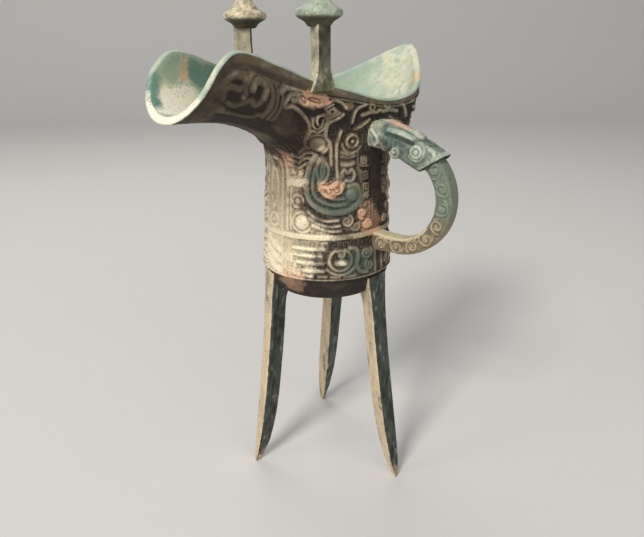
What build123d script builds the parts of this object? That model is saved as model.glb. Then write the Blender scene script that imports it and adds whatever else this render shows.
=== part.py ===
"""A three-legged cast-bronze wine vessel (jue), as the separate castings it is joined from.

Millimetres, +Z up. The origin is on the table, under the axis of the cup. The pouring spout
points to -X, the pointed tail to +X and the handle to -Y.
"""

import math
import os

from build123d import *

# Cup: a round wall that narrows a little towards the waist, over a rounded bottom
leg_height = 105.0
cup_height = 50.0
cup_edge_radius = 29.2
waist_radius = 26.0
base_drop = 14.0
base_belly = 3.2
base_round_width = 8.2
wall = 2.6
floor_thickness = 4.0

# Mouth: a trough that runs from the spout over the cup to the tail; rises are above the waist
spout_reach = 84.5
spout_half_width = 17.5
spout_tip_rise = 21.0
lip_rise = 42.8
mouth_half_width = 28.6
mouth_root_drop = 14.0
rim_low_rise = 23.8
tail_reach = 66.0
tail_tip_rise = 44.0
tail_tip_width = 3.2
tail_point_length = 6.0
mouth_stations = 16

# Posts and their caps
post_setback = 27.0
post_rim_half_width = 20.2
post_rim_rise = 31.6
post_height = 19.0
post_width = 7.4
post_depth = 7.0
post_foot_width = 15.0
saddle_depth = 3.4
cap_radius = 8.7
cap_brim_rise = 4.0
cap_height = 16.0
cap_neck_radius = 4.0
knob_radius = 2.5

# Legs: three-sided, with a flat outer face and a ridge towards the axis
leg_top_azimuths = {"handle_side": -89.0, "spout_side": 150.0, "tail_side": 29.0}
leg_foot_azimuths = {"handle_side": -89.0, "spout_side": 150.0, "tail_side": 43.0}
leg_width = 10.6
leg_depth = 9.2
leg_top_radius = 26.9
foot_radii = {"handle_side": 43.2, "spout_side": 39.9, "tail_side": 42.4}
foot_taper_height = 30.0
sole_width = 3.0
sole_depth = 2.8

# Handle: a bow with a beast's head at its upper end, the bow held in the open mouth
bow_width = 7.6
bow_thickness = 7.2
bow_corner_radius = 1.8
bow_radius = 20.9
bow_centre_reach = 39.2
bow_low_rise = 15.6
mouth_angle = 140.0
bow_tongue_angle = 18.0
head_reach = 57.5
head_width = 13.0
head_height = 15.0
head_root_rise = 10.0
snout_height = 4.9
snout_rise = 3.4

# Cast relief, the same on each quarter of the cup: arcs run round the cup from the line under the spout
# or the tail, and rises are above the cup's lower edge
relief_height = 0.7
ridge_width = 1.4
rib_width = 3.0
rib_rise = 19.6
edge_line_width = 1.2
edge_line_rise = 0.9
handle_strip_width = 9.4
knob_places = [(15.6, 58.3, 3.0), (28.8, 36.4, 2.4), (8.3, 26.0, 3.2), (6.4, 34.4, 2.2), (24.4, 9.8, 2.2)]
ring_places = [(29.6, 58.4, 2.6), (24.4, 9.8, 4.6), (27.4, 26.2, 2.3), (36.2, 11.4, 2.4), (35.0, 27.0, 2.1)]
bar_places = [
    ((20.6, 47.0), (20.6, 60.0)),
    ((23.2, 45.0), (23.2, 60.0)),
    ((2.4, 42.1), (8.6, 42.1)),
    ((25.8, 49.6), (30.4, 49.6)),
    ((4.6, 14.4), (17.2, 14.4)),
    ((4.6, 11.4), (16.6, 11.4)),
    ((6.2, 8.2), (17.0, 8.2)),
    ((7.8, 4.9), (17.6, 4.9)),
]
jaw_curve = [(14.4, 53.4), (10.7, 45.0), (11.6, 35.6), (21.5, 30.0), (32.4, 33.6), (31.0, 41.0)]
wing_curve = [(11.4, 30.0), (16.6, 26.9), (23.2, 26.6)]
band_hook_curve = [(28.9, 15.6), (31.8, 10.2), (35.6, 3.6)]
spout_coils = [(0.731, 17.4, 8.6, 0.0), (0.483, 14.6, 6.6, 2.2)]
tail_coils = [(0.545, 20.0, 6.6, 2.2)]

# Joints: stubs cast on the vessel, and the sockets that the other castings close round them
leg_stub_diameter = 3.2
leg_stub_length = 8.0
bow_stub_diameter = 3.2
head_stub_diameter = 4.4
stub_length = 9.0
cap_stub_diameter = 3.2
cap_stub_length = 3.5
fit_clearance = 0.1

waist = leg_height + cup_height
above_everything = waist + lip_rise + tail_tip_rise

os.makedirs("parts", exist_ok=True)


def cup_form(radius_growth, base_growth):
    """The cup's solid of revolution, grown outwards at its wall and downwards at its rounded base."""
    edge = cup_edge_radius + radius_growth
    neck = waist_radius + radius_growth
    top = waist + rim_low_rise / 2
    bottom = leg_height - base_drop - base_growth
    turn = edge - base_round_width
    with BuildPart() as form:
        with BuildSketch(Plane.XZ):
            with BuildLine():
                under = TangentArc((0, bottom), (turn, bottom + base_belly), tangent=(1, 0))
                TangentArc((turn, bottom + base_belly), (edge, leg_height), tangent=under % 1)
                Polyline((edge, leg_height), (neck, waist), (neck, top), (0, top), (0, bottom))
            make_face()
        revolve(axis=Axis.Z)
    return form.part


def trough_section(along, half_width, keel):
    """One upright cross-section of the mouth: a round keel with straight sides."""
    with BuildSketch(Plane((along, 0, 0), x_dir=(0, 1, 0), z_dir=(1, 0, 0))) as section:
        with BuildLine():
            ThreePointArc((-half_width, keel + half_width), (0, keel), (half_width, keel + half_width))
            Line((half_width, keel + half_width), (half_width, above_everything))
            Line((half_width, above_everything), (-half_width, above_everything))
            Line((-half_width, above_everything), (-half_width, keel + half_width))
        make_face()
    return section.sketch


def flow(place, marks):
    """Smooth curve through (place, value) marks; each mark's slope is that of its two neighbours."""
    last = len(marks) - 1
    slopes = []
    for i in range(len(marks)):
        before, after = marks[max(i - 1, 0)], marks[min(i + 1, last)]
        slopes.append((after[1] - before[1]) / (after[0] - before[0]))
    i = 0
    while i < last - 1 and place > marks[i + 1][0]:
        i += 1
    (start, low), (end, high) = marks[i], marks[i + 1]
    span = end - start
    t = (place - start) / span
    leaving = low + slopes[i] * span * t * (1 - t) ** 2 + (high - low) * t * t * (3 - 2 * t)
    return leaving - slopes[i + 1] * span * t * t * (1 - t)


def steepness(place, marks):
    """How much longer a skin's thickness is when measured across the axis, where the skin slopes."""
    reach = wall / 5
    slope = (flow(place + reach, marks) - flow(place - reach, marks)) / (2 * reach)
    return math.hypot(1, slope)


def mouth_marks():
    """Half-widths of the mouth along X, and rises of its keel above the waist."""
    root = -mouth_root_drop
    half_widths = [
        (-1.03 * spout_reach, 0.96 * spout_half_width),
        (-0.74 * spout_reach, 1.00 * spout_half_width),
        (-0.51 * spout_reach, 1.06 * spout_half_width),
        (-post_setback, post_rim_half_width),
        (-0.45 * post_setback, (post_rim_half_width + mouth_half_width + wall) / 2),
        (0.12 * tail_reach, 0.99 * mouth_half_width),
        (0.36 * tail_reach, 1.02 * mouth_half_width),
        (0.61 * tail_reach, 0.80 * mouth_half_width),
        (0.88 * tail_reach, 0.36 * mouth_half_width),
        (tail_reach, 0.5 * tail_tip_width),
    ]
    keel_rises = [
        (-1.03 * spout_reach, spout_tip_rise),
        (-0.74 * spout_reach, spout_tip_rise - 0.13 * mouth_root_drop),
        (-0.51 * spout_reach, spout_tip_rise - 0.55 * mouth_root_drop),
        (-post_setback, 0.15 * spout_tip_rise),
        (0.12 * tail_reach, root),
        (0.36 * tail_reach, 0.35 * root),
        (0.61 * tail_reach, 0.30 * tail_tip_rise),
        (tail_reach, tail_tip_rise - 0.5 * tail_tip_width),
    ]
    return half_widths, keel_rises


def mouth_form(grow, tail_end):
    """The solid inside the mouth's outer skin, grown by grow; the rim line trims it later."""
    half_widths, keel_rises = mouth_marks()
    spout_end = -1.03 * spout_reach
    sections = []
    for station in range(mouth_stations + 1):
        along = spout_end + (tail_end - spout_end) * station / mouth_stations
        half_width = flow(along, half_widths) + grow * steepness(along, half_widths)
        keel = waist + flow(along, keel_rises) - grow * steepness(along, keel_rises)
        sections.append(trough_section(along, half_width, keel))
    with BuildPart() as form:
        loft(sections)
    return form.part


def rim_waste():
    """What is cut away above the rim, seen from the side: round the lip, then along the mouth."""
    tip = (-spout_reach, waist + spout_tip_rise)
    rim_line = [
        tip,
        (-0.945 * spout_reach, waist + spout_tip_rise + 0.37 * (lip_rise - spout_tip_rise)),
        (-0.88 * spout_reach, waist + spout_tip_rise + 0.76 * (lip_rise - spout_tip_rise)),
        (-0.78 * spout_reach, waist + lip_rise),
        (-0.57 * spout_reach, waist + lip_rise - 0.4 * (lip_rise - post_rim_rise)),
        (-post_setback, waist + post_rim_rise),
        (0.12 * tail_reach, waist + rim_low_rise),
        (0.61 * tail_reach, waist + rim_low_rise + 0.37 * (tail_tip_rise - rim_low_rise)),
        (tail_reach, waist + tail_tip_rise),
    ]
    outside = 1.3 * spout_reach
    with BuildPart() as waste:
        with BuildSketch(Plane.XZ):
            with BuildLine():
                Line((-outside, waist), (-spout_reach, waist))
                Line((-spout_reach, waist), tip)
                Spline(rim_line)
                Line(rim_line[-1], (outside, rim_line[-1][1]))
                Line((outside, rim_line[-1][1]), (outside, 2 * above_everything))
                Line((outside, 2 * above_everything), (-outside, 2 * above_everything))
                Line((-outside, 2 * above_everything), (-outside, waist))
            make_face()
        extrude(amount=2 * mouth_half_width, both=True)
    return waste.part


def leg_plane(azimuth, height):
    """Level plane whose X runs outwards along the leg's azimuth."""
    outwards = (math.cos(math.radians(azimuth)), math.sin(math.radians(azimuth)), 0)
    return Plane((0, 0, height), x_dir=outwards, z_dir=(0, 0, 1))


def ridged_section(plane, outer, width, depth):
    """Three-sided section: a flat face at outer along the plane's X, and a ridge on the other side."""
    with BuildSketch(plane) as section:
        with BuildLine():
            Polyline((outer, -width / 2), (outer, width / 2), (outer - depth, 0), close=True)
        make_face()
    return section.sketch


def leg_stations(side):
    """Levels of one leg: height, azimuth, reach of its outer face, width and depth."""
    foot_radius = foot_radii[side]
    splay = (foot_radius - leg_top_radius) / leg_height
    lean = (leg_foot_azimuths[side] - leg_top_azimuths[side]) / leg_height
    blade = foot_radius - 0.45 * splay * foot_taper_height
    shin = foot_radius - 1.15 * splay * foot_taper_height
    levels = [
        (0, foot_radius, sole_width, sole_depth),
        (0.4 * foot_taper_height, blade, 0.62 * leg_width, 0.8 * leg_depth),
        (foot_taper_height, shin, 0.92 * leg_width, 0.97 * leg_depth),
        (0.65 * leg_height, leg_top_radius + 0.33 * splay * leg_height, leg_width, leg_depth),
        (leg_height, leg_top_radius, 1.1 * leg_width, leg_depth),
    ]
    return [(level[0], leg_foot_azimuths[side] - lean * level[0], *level[1:]) for level in levels]


def leg_stub_plane(side):
    """Plane at the root of a leg's stub, in the cup's floor, looking down along the middle of the leg."""
    thigh, top = [
        leg_plane(azimuth, height).from_local_coords((outer - depth / 3, 0, 0))
        for height, azimuth, outer, width, depth in leg_stations(side)[-2:]
    ]
    return Plane((top.X, top.Y, leg_stub_root), z_dir=thigh - top)


def relief_plane(start_azimuth, arc):
    """Upright plane inside the cup, facing outwards at an arc; its X runs round the cup and its Y upwards."""
    azimuth = math.radians(start_azimuth) + arc / relief_radius
    outwards = Vector(math.cos(azimuth), math.sin(azimuth), 0)
    along = (-math.sin(azimuth), math.cos(azimuth), 0)
    return Plane(relief_start * outwards + Vector(0, 0, leg_height), x_dir=along, z_dir=outwards)


def flank_plane(along, climb):
    """Plane inside the mouth that faces out through a flank, at an arc's climb from the keel: the flank
    on the handle's side at the spout, and the other one at the tail."""
    half_widths, keel_rises = mouth_marks()
    half_width = flow(along, half_widths)
    keel = waist + flow(along, keel_rises)
    angle = climb / half_width
    outwards = Vector(0, math.copysign(math.sin(angle), along), -math.cos(angle))
    inside = half_width / 2
    return Plane(Vector(along, 0, keel + half_width) + inside * outwards, x_dir=(1, 0, 0), z_dir=outwards)


def quarter_relief(start_azimuth, reach, coils):
    """Ridges, knobs and rings of one quarter, from the line under the spout (or tail) towards a side."""
    with BuildPart() as relief:
        for arc, rise, radius in knob_places:
            with BuildSketch(relief_plane(start_azimuth, arc)):
                with Locations((0, rise)):
                    Circle(radius)
            extrude(amount=waist_radius)
        for arc, rise, radius in ring_places:
            with BuildSketch(relief_plane(start_azimuth, arc)):
                with Locations((0, rise)):
                    Circle(radius + ridge_width / 2)
                    Circle(radius - ridge_width / 2, mode=Mode.SUBTRACT)
            extrude(amount=waist_radius)
        for start, end in bar_places:
            middle = (start[0] + end[0]) / 2
            with BuildSketch(relief_plane(start_azimuth, middle)):
                with BuildLine():
                    Line((start[0] - middle, start[1]), (end[0] - middle, end[1]))
                trace(line_width=ridge_width)
            extrude(amount=waist_radius)
        for curve in (jaw_curve, wing_curve, band_hook_curve):
            middle = (min(curve)[0] + max(curve)[0]) / 2
            with BuildSketch(relief_plane(start_azimuth, middle)):
                with BuildLine():
                    Spline([(arc - middle, rise) for arc, rise in curve])
                trace(line_width=ridge_width)
            extrude(amount=waist_radius)
        for share, climb, radius, knob in coils:
            with BuildSketch(flank_plane(share * reach, climb)):
                Circle(radius + ridge_width / 2)
                Circle(radius - ridge_width / 2, mode=Mode.SUBTRACT)
                if knob:
                    Circle(knob)
            extrude(amount=waist_radius)
        add(relief_skin, mode=Mode.INTERSECT)
    return relief.part


def ring_relief(rise, width):
    """A raised line round the cup, left out where the handle meets it."""
    low, high = rise - width / 2, rise + width / 2
    taper = (cup_edge_radius - waist_radius) / cup_height
    with BuildPart() as line:
        with BuildSketch(Plane.XZ):
            with Locations((0, leg_height)):
                Polygon(
                    (cup_edge_radius - taper * low - wall / 2, low),
                    (cup_edge_radius - taper * low + relief_height, low),
                    (cup_edge_radius - taper * high + relief_height, high),
                    (cup_edge_radius - taper * high - wall / 2, high),
                    align=None,
                )
        revolve(axis=Axis.Z)
        with Locations((0, -cup_edge_radius, leg_height + rise)):
            Box(handle_strip_width, cup_edge_radius, 2 * width, mode=Mode.SUBTRACT)
    return line.part


base_share = math.sqrt(1 - ((leg_top_radius - leg_depth / 3) / (cup_edge_radius - wall / 2)) ** 2)
leg_stub_root = leg_height - (base_drop - floor_thickness / 2) * base_share
bow_low_height = leg_height + bow_low_rise
bow_stub_root = cup_edge_radius - (cup_edge_radius - waist_radius) * bow_low_rise / cup_height - wall / 2
head_stub_height = waist + head_root_rise
head_stub_root = waist_radius - wall / 4
outer_cup = cup_form(0, 0)
outer_mouth = mouth_form(0, tail_reach)
inner_cup = cup_form(-wall, -floor_thickness)
inner_mouth = mouth_form(-wall, tail_reach - tail_point_length)
above_rim = rim_waste()
relief_radius = (cup_edge_radius + waist_radius) / 2
relief_start = 0.8 * waist_radius
relief_skin = cup_form(relief_height, 0) + mouth_form(relief_height, tail_reach)
relief_skin -= cup_form(-wall / 2, 0)
relief_skin -= mouth_form(-wall / 2, tail_reach)
quarters = [quarter_relief(180, -spout_reach, spout_coils), quarter_relief(0, tail_reach, tail_coils)]

# Vessel: cup, spout and tail in one hollow casting, with its stubs
with BuildPart() as vessel_body:
    add(outer_cup)
    add(outer_mouth)
    add(inner_cup, mode=Mode.SUBTRACT)
    add(inner_mouth, mode=Mode.SUBTRACT)
    add(above_rim, mode=Mode.SUBTRACT)
    for quarter in quarters:
        add(quarter)
        add(quarter.mirror(Plane.XZ))
    add(ring_relief(rib_rise, rib_width))
    add(ring_relief(edge_line_rise, edge_line_width))
    for side in leg_top_azimuths:
        with BuildSketch(leg_stub_plane(side)):
            Circle(leg_stub_diameter / 2)
        extrude(amount=leg_stub_length)
    with BuildSketch(Plane.XZ.offset(bow_stub_root)):
        with Locations((0, bow_low_height)):
            Circle(bow_stub_diameter / 2)
    extrude(amount=stub_length)
    with BuildSketch(Plane.XZ.offset(head_stub_root)):
        with Locations((0, head_stub_height)):
            Circle(head_stub_diameter / 2)
    extrude(amount=stub_length)
vessel_body.part.label = "vessel_body"
export_step(vessel_body.part, "parts/vessel_body.step")

# Legs
cup_seat = cup_form(fit_clearance, fit_clearance)
for side in leg_top_azimuths:
    leg_sections = [
        ridged_section(leg_plane(azimuth, height), outer, width, depth)
        for height, azimuth, outer, width, depth in leg_stations(side)
    ]
    with BuildPart() as leg:
        loft(leg_sections)
        add(cup_seat, mode=Mode.SUBTRACT)
        with BuildSketch(leg_stub_plane(side)):
            Circle(leg_stub_diameter / 2 + fit_clearance)
        extrude(amount=leg_stub_length + fit_clearance, mode=Mode.SUBTRACT)
    leg.part.label = f"leg_{side}"
    export_step(leg.part, f"parts/leg_{side}.step")


def post_plane(sign, height):
    """Level plane on a post's axis, whose X runs outwards across the mouth."""
    return Plane((-post_setback, sign * post_y, height), x_dir=(0, sign, 0), z_dir=(0, 0, 1))


# Posts, astride the rim, each with its cap
post_y = post_rim_half_width - wall / 2
post_rim = waist + post_rim_rise
cap_seat = post_rim + post_height
for side, sign in {"handle_side": -1, "far_side": 1}.items():
    post_levels = [
        (post_rim - saddle_depth, 0.45 * post_depth, post_foot_width, post_depth),
        (post_rim + saddle_depth, 0.42 * post_depth, 1.2 * post_width, post_depth),
        (cap_seat, 0.4 * post_depth, post_width, 0.94 * post_depth),
    ]
    post_sections = [
        ridged_section(post_plane(sign, height), outer, width, depth)
        for height, outer, width, depth in post_levels
    ]
    with BuildPart() as post:
        loft(post_sections)
        add(vessel_body.part, mode=Mode.SUBTRACT)
        with BuildSketch(post_plane(sign, cap_seat)):
            Circle(cap_stub_diameter / 2)
        extrude(amount=cap_stub_length)
    post.part.label = f"post_{side}"
    export_step(post.part, f"parts/post_{side}.step")

    cap_frame = Plane((-post_setback, sign * post_y, cap_seat), x_dir=(1, 0, 0), z_dir=(0, -1, 0))
    knob_middle = cap_height - knob_radius
    knob_neck = (0.8 * knob_radius, knob_middle - 0.6 * knob_radius)
    brim = (cap_radius, cap_brim_rise)
    shoulder = (0.95 * cap_radius, cap_brim_rise + 0.1 * cap_radius)
    hollow = (0.5 * cap_radius, (cap_brim_rise + knob_neck[1]) / 2)
    with BuildPart() as cap:
        with BuildSketch(cap_frame):
            with BuildLine():
                Polyline((0, cap_height), (0, 0), (cap_neck_radius, 0), brim, shoulder)
                ThreePointArc(shoulder, hollow, knob_neck)
                ThreePointArc(knob_neck, (knob_radius, knob_middle), (0, cap_height))
            make_face()
        revolve(axis=Axis((-post_setback, sign * post_y, cap_seat), (0, 0, 1)))
        with BuildSketch(Plane((-post_setback, sign * post_y, cap_seat))):
            Circle(cap_stub_diameter / 2 + fit_clearance)
        extrude(amount=cap_stub_length + fit_clearance, mode=Mode.SUBTRACT)
    cap.part.label = f"post_cap_{side}"
    export_step(cap.part, f"parts/post_cap_{side}.step")


def bow_form(grow):
    """The handle's bow: a level run out from the cup, then one round arc up into the beast's mouth."""
    centre_height = bow_low_height + bow_radius
    straight_down = 270
    swing = mouth_angle - bow_tongue_angle - straight_down
    with BuildPart() as form:
        with BuildLine(Plane.YZ) as path:
            Line((-bow_stub_root, bow_low_height), (-bow_centre_reach, bow_low_height))
            CenterArc((-bow_centre_reach, centre_height), bow_radius, straight_down, swing)
        with BuildSketch(Plane.XZ.offset(bow_stub_root)):
            with Locations((0, bow_low_height)):
                RectangleRounded(bow_width + 2 * grow, bow_thickness + 2 * grow, bow_corner_radius + grow)
        sweep(path=path.line)
    return form.part


def head_section(reach, middle, width, height):
    """Upright rounded section of the beast's head at a distance from the cup's axis."""
    with BuildSketch(Plane.XZ.offset(reach)) as section:
        with Locations((0, middle)):
            RectangleRounded(width, height, 0.3 * height)
    return section.sketch


# Handle bow
with BuildPart() as handle_bow:
    add(bow_form(0))
    add(cup_seat, mode=Mode.SUBTRACT)
    with BuildSketch(Plane.XZ.offset(bow_stub_root)):
        with Locations((0, bow_low_height)):
            Circle(bow_stub_diameter / 2 + fit_clearance)
    extrude(amount=stub_length + fit_clearance, mode=Mode.SUBTRACT)
handle_bow.part.label = "handle_bow"
export_step(handle_bow.part, "parts/handle_bow.step")

# Beast's head
cheek_height = waist + 0.6 * head_root_rise + 0.03 * head_height
snout_middle = waist + snout_rise
head_sections = [
    head_section(head_stub_root, head_stub_height, 0.86 * head_width, 0.8 * head_height),
    head_section(0.58 * head_reach, head_stub_height - 0.03 * head_height, head_width, 0.88 * head_height),
    head_section(0.74 * head_reach, cheek_height, head_width, head_height),
    head_section(0.86 * head_reach, snout_middle, 0.9 * head_width, 0.84 * head_height),
    head_section(head_reach, snout_middle, 0.64 * head_width, snout_height),
]
with BuildPart() as handle_head:
    loft(head_sections)
    add(cup_seat, mode=Mode.SUBTRACT)
    add(mouth_form(fit_clearance, tail_reach), mode=Mode.SUBTRACT)
    add(bow_form(fit_clearance), mode=Mode.SUBTRACT)
    with BuildSketch(Plane.XZ.offset(head_stub_root)):
        with Locations((0, head_stub_height)):
            Circle(head_stub_diameter / 2 + fit_clearance)
    extrude(amount=stub_length + fit_clearance, mode=Mode.SUBTRACT)
handle_head.part.label = "handle_head"
export_step(handle_head.part, "parts/handle_head.step")
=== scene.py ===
# %% [markdown]
# # A bronze jue, dressed for the camera
# A jue is a three-legged bronze cup for warming and pouring wine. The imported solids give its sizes. This
# lesson keeps those sizes and makes each casting again as a surface with its relief, wear and patina.

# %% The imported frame
import math

import bpy
import numpy as np
from mathutils import Matrix, Vector


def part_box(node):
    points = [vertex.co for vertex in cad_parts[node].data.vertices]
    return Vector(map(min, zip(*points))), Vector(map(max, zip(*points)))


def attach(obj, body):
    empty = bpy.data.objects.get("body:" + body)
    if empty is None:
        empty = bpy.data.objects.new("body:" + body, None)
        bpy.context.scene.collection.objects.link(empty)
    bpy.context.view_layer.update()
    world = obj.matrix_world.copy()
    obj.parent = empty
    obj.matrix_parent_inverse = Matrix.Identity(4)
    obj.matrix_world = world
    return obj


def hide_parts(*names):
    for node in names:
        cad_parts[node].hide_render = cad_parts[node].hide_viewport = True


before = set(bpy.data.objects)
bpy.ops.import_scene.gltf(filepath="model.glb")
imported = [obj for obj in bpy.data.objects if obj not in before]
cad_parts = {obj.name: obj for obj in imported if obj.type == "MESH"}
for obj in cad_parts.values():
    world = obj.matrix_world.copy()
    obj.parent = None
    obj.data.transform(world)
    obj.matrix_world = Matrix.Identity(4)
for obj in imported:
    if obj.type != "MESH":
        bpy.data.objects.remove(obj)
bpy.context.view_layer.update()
MM = 0.001
vessel_low, vessel_high = np.array(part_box("vessel_body")) / MM
print("vessel in mm:", vessel_low.round(1), vessel_high.round(1))

# %% [markdown]
# ## The camera
# The vessel is seen a little from above, from the spout's and the handle's side. The place and the angles
# were found by matching the solids to the picture, so the camera is set by numbers instead of by eye.

# %% Camera
camera_place = Vector((-0.2004, -0.1622, 0.2011))
camera_heading = math.radians(39.5)
camera_dip = math.radians(21.42)
camera_roll = math.radians(-0.49)
focal_pixels = 582.7
picture_width_pixels = 644.0

camera_data = bpy.data.cameras.new("camera")
camera_data.sensor_fit = "HORIZONTAL"
camera_data.sensor_width = 36.0
camera_data.lens = camera_data.sensor_width * focal_pixels / picture_width_pixels
camera_data.clip_start = 0.01
camera = bpy.data.objects.new("camera", camera_data)
bpy.context.scene.collection.objects.link(camera)
turn = (Matrix.Rotation(camera_heading - math.pi / 2, 3, "Z")
        @ Matrix.Rotation(math.pi / 2 - camera_dip, 3, "X")
        @ Matrix.Rotation(camera_roll, 3, "Z"))
camera.location = camera_place
camera.rotation_euler = turn.to_euler()
bpy.context.scene.camera = camera
print("lens in mm:", round(camera_data.lens, 2))

# %% [markdown]
# ## Soft studio light
# Cast relief shows only when light rakes across it, so the main lamp stands high on the spout's side and far
# off, which keeps the floor even. Three weaker ones reach under the spout and fill the handle's side and the
# back, and a grey sky keeps the shadows open.

# %% Lamps and sky
vessel_middle = Vector((0, 0, 0.12))


def colour(code):
    """Six hex digits as the linear red, green, blue and alpha that Blender's sockets take."""
    shown = np.array([int(code[i:i + 2], 16) for i in (0, 2, 4)]) / 255
    linear = np.where(shown <= 0.04045, shown / 12.92, ((shown + 0.055) / 1.055) ** 2.4)
    return (*linear, 1.0)


def softbox(name, azimuth, height, distance, size, watts):
    """A square lamp that stands at an azimuth round the vessel and looks at its middle."""
    lamp = bpy.data.lights.new(name, "AREA")
    lamp.size = size
    lamp.energy = watts
    stand = bpy.data.objects.new(name, lamp)
    angle = math.radians(azimuth)
    stand.location = Vector((distance * math.cos(angle), distance * math.sin(angle), height))
    stand.rotation_euler = (vessel_middle - stand.location).to_track_quat("-Z", "Y").to_euler()
    bpy.context.scene.collection.objects.link(stand)


softbox("key_lamp", azimuth=188, height=1.98, distance=2.2, size=0.76, watts=62.0)
softbox("side_lamp", azimuth=152, height=0.70, distance=1.6, size=0.5, watts=3.8)
softbox("fill_lamp", azimuth=250, height=0.55, distance=1.0, size=0.8, watts=2.4)
softbox("back_lamp", azimuth=60, height=0.9, distance=0.7, size=0.6, watts=2.4)

sky = bpy.data.worlds.new("studio_sky")
sky.use_nodes = True
sky_shader = sky.node_tree.nodes["Background"]
sky_shader.inputs["Color"].default_value = colour("c9cacd")
sky_shader.inputs["Strength"].default_value = 0.52
bpy.context.scene.world = sky
bpy.context.scene.view_settings.view_transform = "Standard"
print("lamps:", len(bpy.data.lights))

# %% [markdown]
# ## The floor
# A floor that sweeps up into a wall behind the vessel shows no corner. One line of points, flat and then a
# quarter circle, is set down twice, far to either side, and quads join the two.

# %% Floor and sweep
floor_half = 12.0
wall_distance = 1.3
sweep_radius = 0.8
wall_height = 2.2
sweep = np.linspace(0, np.pi / 2, 24)
floor_out = np.concatenate([[-floor_half], wall_distance + sweep_radius * np.sin(sweep),
                            [wall_distance + sweep_radius]])
floor_up = np.concatenate([[0], sweep_radius * (1 - np.cos(sweep)), [wall_height]])
ahead = np.array([math.cos(camera_heading), math.sin(camera_heading), 0])
beside = np.array([-ahead[1], ahead[0], 0])
floor_line = floor_out[:, None] * ahead + floor_up[:, None] * np.array([0, 0, 1])
floor_points = np.concatenate([floor_line + side * floor_half * beside for side in (1, -1)])
near = np.arange(len(floor_line) - 1)
far = near + len(floor_line)
floor_faces = np.stack([near, far, far + 1, near + 1], axis=1)
floor_mesh = bpy.data.meshes.new("floor")
floor_mesh.from_pydata(floor_points.tolist(), [], floor_faces.tolist())
floor_mesh.shade_smooth()
floor = bpy.data.objects.new("floor", floor_mesh)
bpy.context.scene.collection.objects.link(floor)
floor_paint = bpy.data.materials.new("pale_floor")
floor_paint.use_nodes = True
floor_shader = floor_paint.node_tree.nodes["Principled BSDF"]
floor_shader.inputs["Base Color"].default_value = colour("cfccc7")
floor_shader.inputs["Roughness"].default_value = 0.85
floor_mesh.materials.append(floor_paint)
print("floor faces:", len(floor_mesh.polygons))

# %% [markdown]
# ## A mesh from a grid of points
# Every casting here is a grid: rows of points, each row joined to the next by quads. A ring joins its last
# column to its first, and a tube joins its last row to its first. Where a row shrinks to a point, a fan of
# triangles closes the pole. The sign of the enclosed volume tells whether the faces look outwards.

# %% Grid to mesh
def grid_mesh(name, points, join_columns=True, join_rows=False, poles=(), end_caps=False):
    """Quads between neighbouring grid points, with an optional fan to a pole beyond the first and last row,
    or a flat cap on the first and last column."""
    rows, columns = points.shape[:2]
    index = np.arange(rows * columns).reshape(rows, columns)
    across = np.hstack([index, index[:, :1]]) if join_columns else index
    down = np.vstack([across, across[:1]]) if join_rows else across
    quads = np.stack([down[:-1, :-1], down[:-1, 1:], down[1:, 1:], down[1:, :-1]], axis=-1).reshape(-1, 4)
    faces = [quads]
    vertices = points.reshape(-1, 3)
    for row, pole in zip((0, -1), poles):
        edge = across[row] if row == -1 else across[row][::-1]
        fan = np.stack([edge[:-1], edge[1:], np.full(len(edge) - 1, len(vertices))], axis=-1)
        vertices = np.vstack([vertices, np.array(pole, float)])
        faces.append(fan)
    if end_caps:
        faces += [index[:, 0][None, :], index[::-1, -1][None, :]]
    sizes = np.concatenate([np.full(len(block), block.shape[1]) for block in faces])
    corners = np.concatenate([block.ravel() for block in faces])
    starts = np.concatenate([[0], np.cumsum(sizes)[:-1]])
    a, b, c, d = (vertices[quads[:, corner]] for corner in range(4))
    volume = np.einsum("ij,ij->i", a, np.cross(b, c) + np.cross(c, d)).sum()
    mesh = bpy.data.meshes.new(name)
    mesh.vertices.add(len(vertices))
    mesh.vertices.foreach_set("co", (vertices * MM).ravel())
    mesh.loops.add(len(corners))
    mesh.loops.foreach_set("vertex_index", corners.astype(np.int32))
    mesh.polygons.add(len(sizes))
    mesh.polygons.foreach_set("loop_start", starts.astype(np.int32))
    mesh.update(calc_edges=True)
    if volume < 0:
        mesh.flip_normals()
    mesh.polygons.foreach_set("use_smooth", np.ones(len(sizes), bool))
    mesh.validate()
    return mesh


def sharpen(mesh, columns, rows, along_columns=()):
    """Mark the edges that run along the given rows and columns, so that the light breaks there instead of
    rolling over."""
    ends = np.empty(2 * len(mesh.edges), np.int32)
    mesh.edges.foreach_get("vertices", ends)
    row, column = np.divmod(ends.reshape(-1, 2), columns)
    crease = np.isin(row[:, 0], rows) & (row[:, 0] == row[:, 1])
    crease |= np.isin(column[:, 0], along_columns) & (column[:, 0] == column[:, 1])
    sharp = mesh.attributes.new("sharp_edge", "BOOLEAN", "EDGE")
    sharp.data.foreach_set("value", crease)


def place(name, mesh, node, slot, material, **masks):
    """Put a finished mesh into the scene: its masks as attributes, its body, the solid it stands for."""
    for mask, values in masks.items():
        stored = mesh.attributes.new(mask, "FLOAT", "POINT")
        full = np.zeros(len(mesh.vertices), np.float32)
        full[:values.size] = np.ravel(values)
        stored.data.foreach_set("value", full)
    piece = bpy.data.objects.new(name, mesh)
    bpy.context.scene.collection.objects.link(piece)
    mesh.materials.append(material)
    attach(piece, "root")
    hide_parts(node)
    print(f"{name}: {len(mesh.loops) - 2 * len(mesh.polygons)} triangles")


# %% [markdown]
# ## Patina
# Old bronze is dark where the casting is deep and pale where hands and soil have rubbed or crusted it. All
# the castings share that, so it is one node group with its own colours and masks in each material. First
# come the group's sockets and a few helpers, which add nodes to it.

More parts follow.
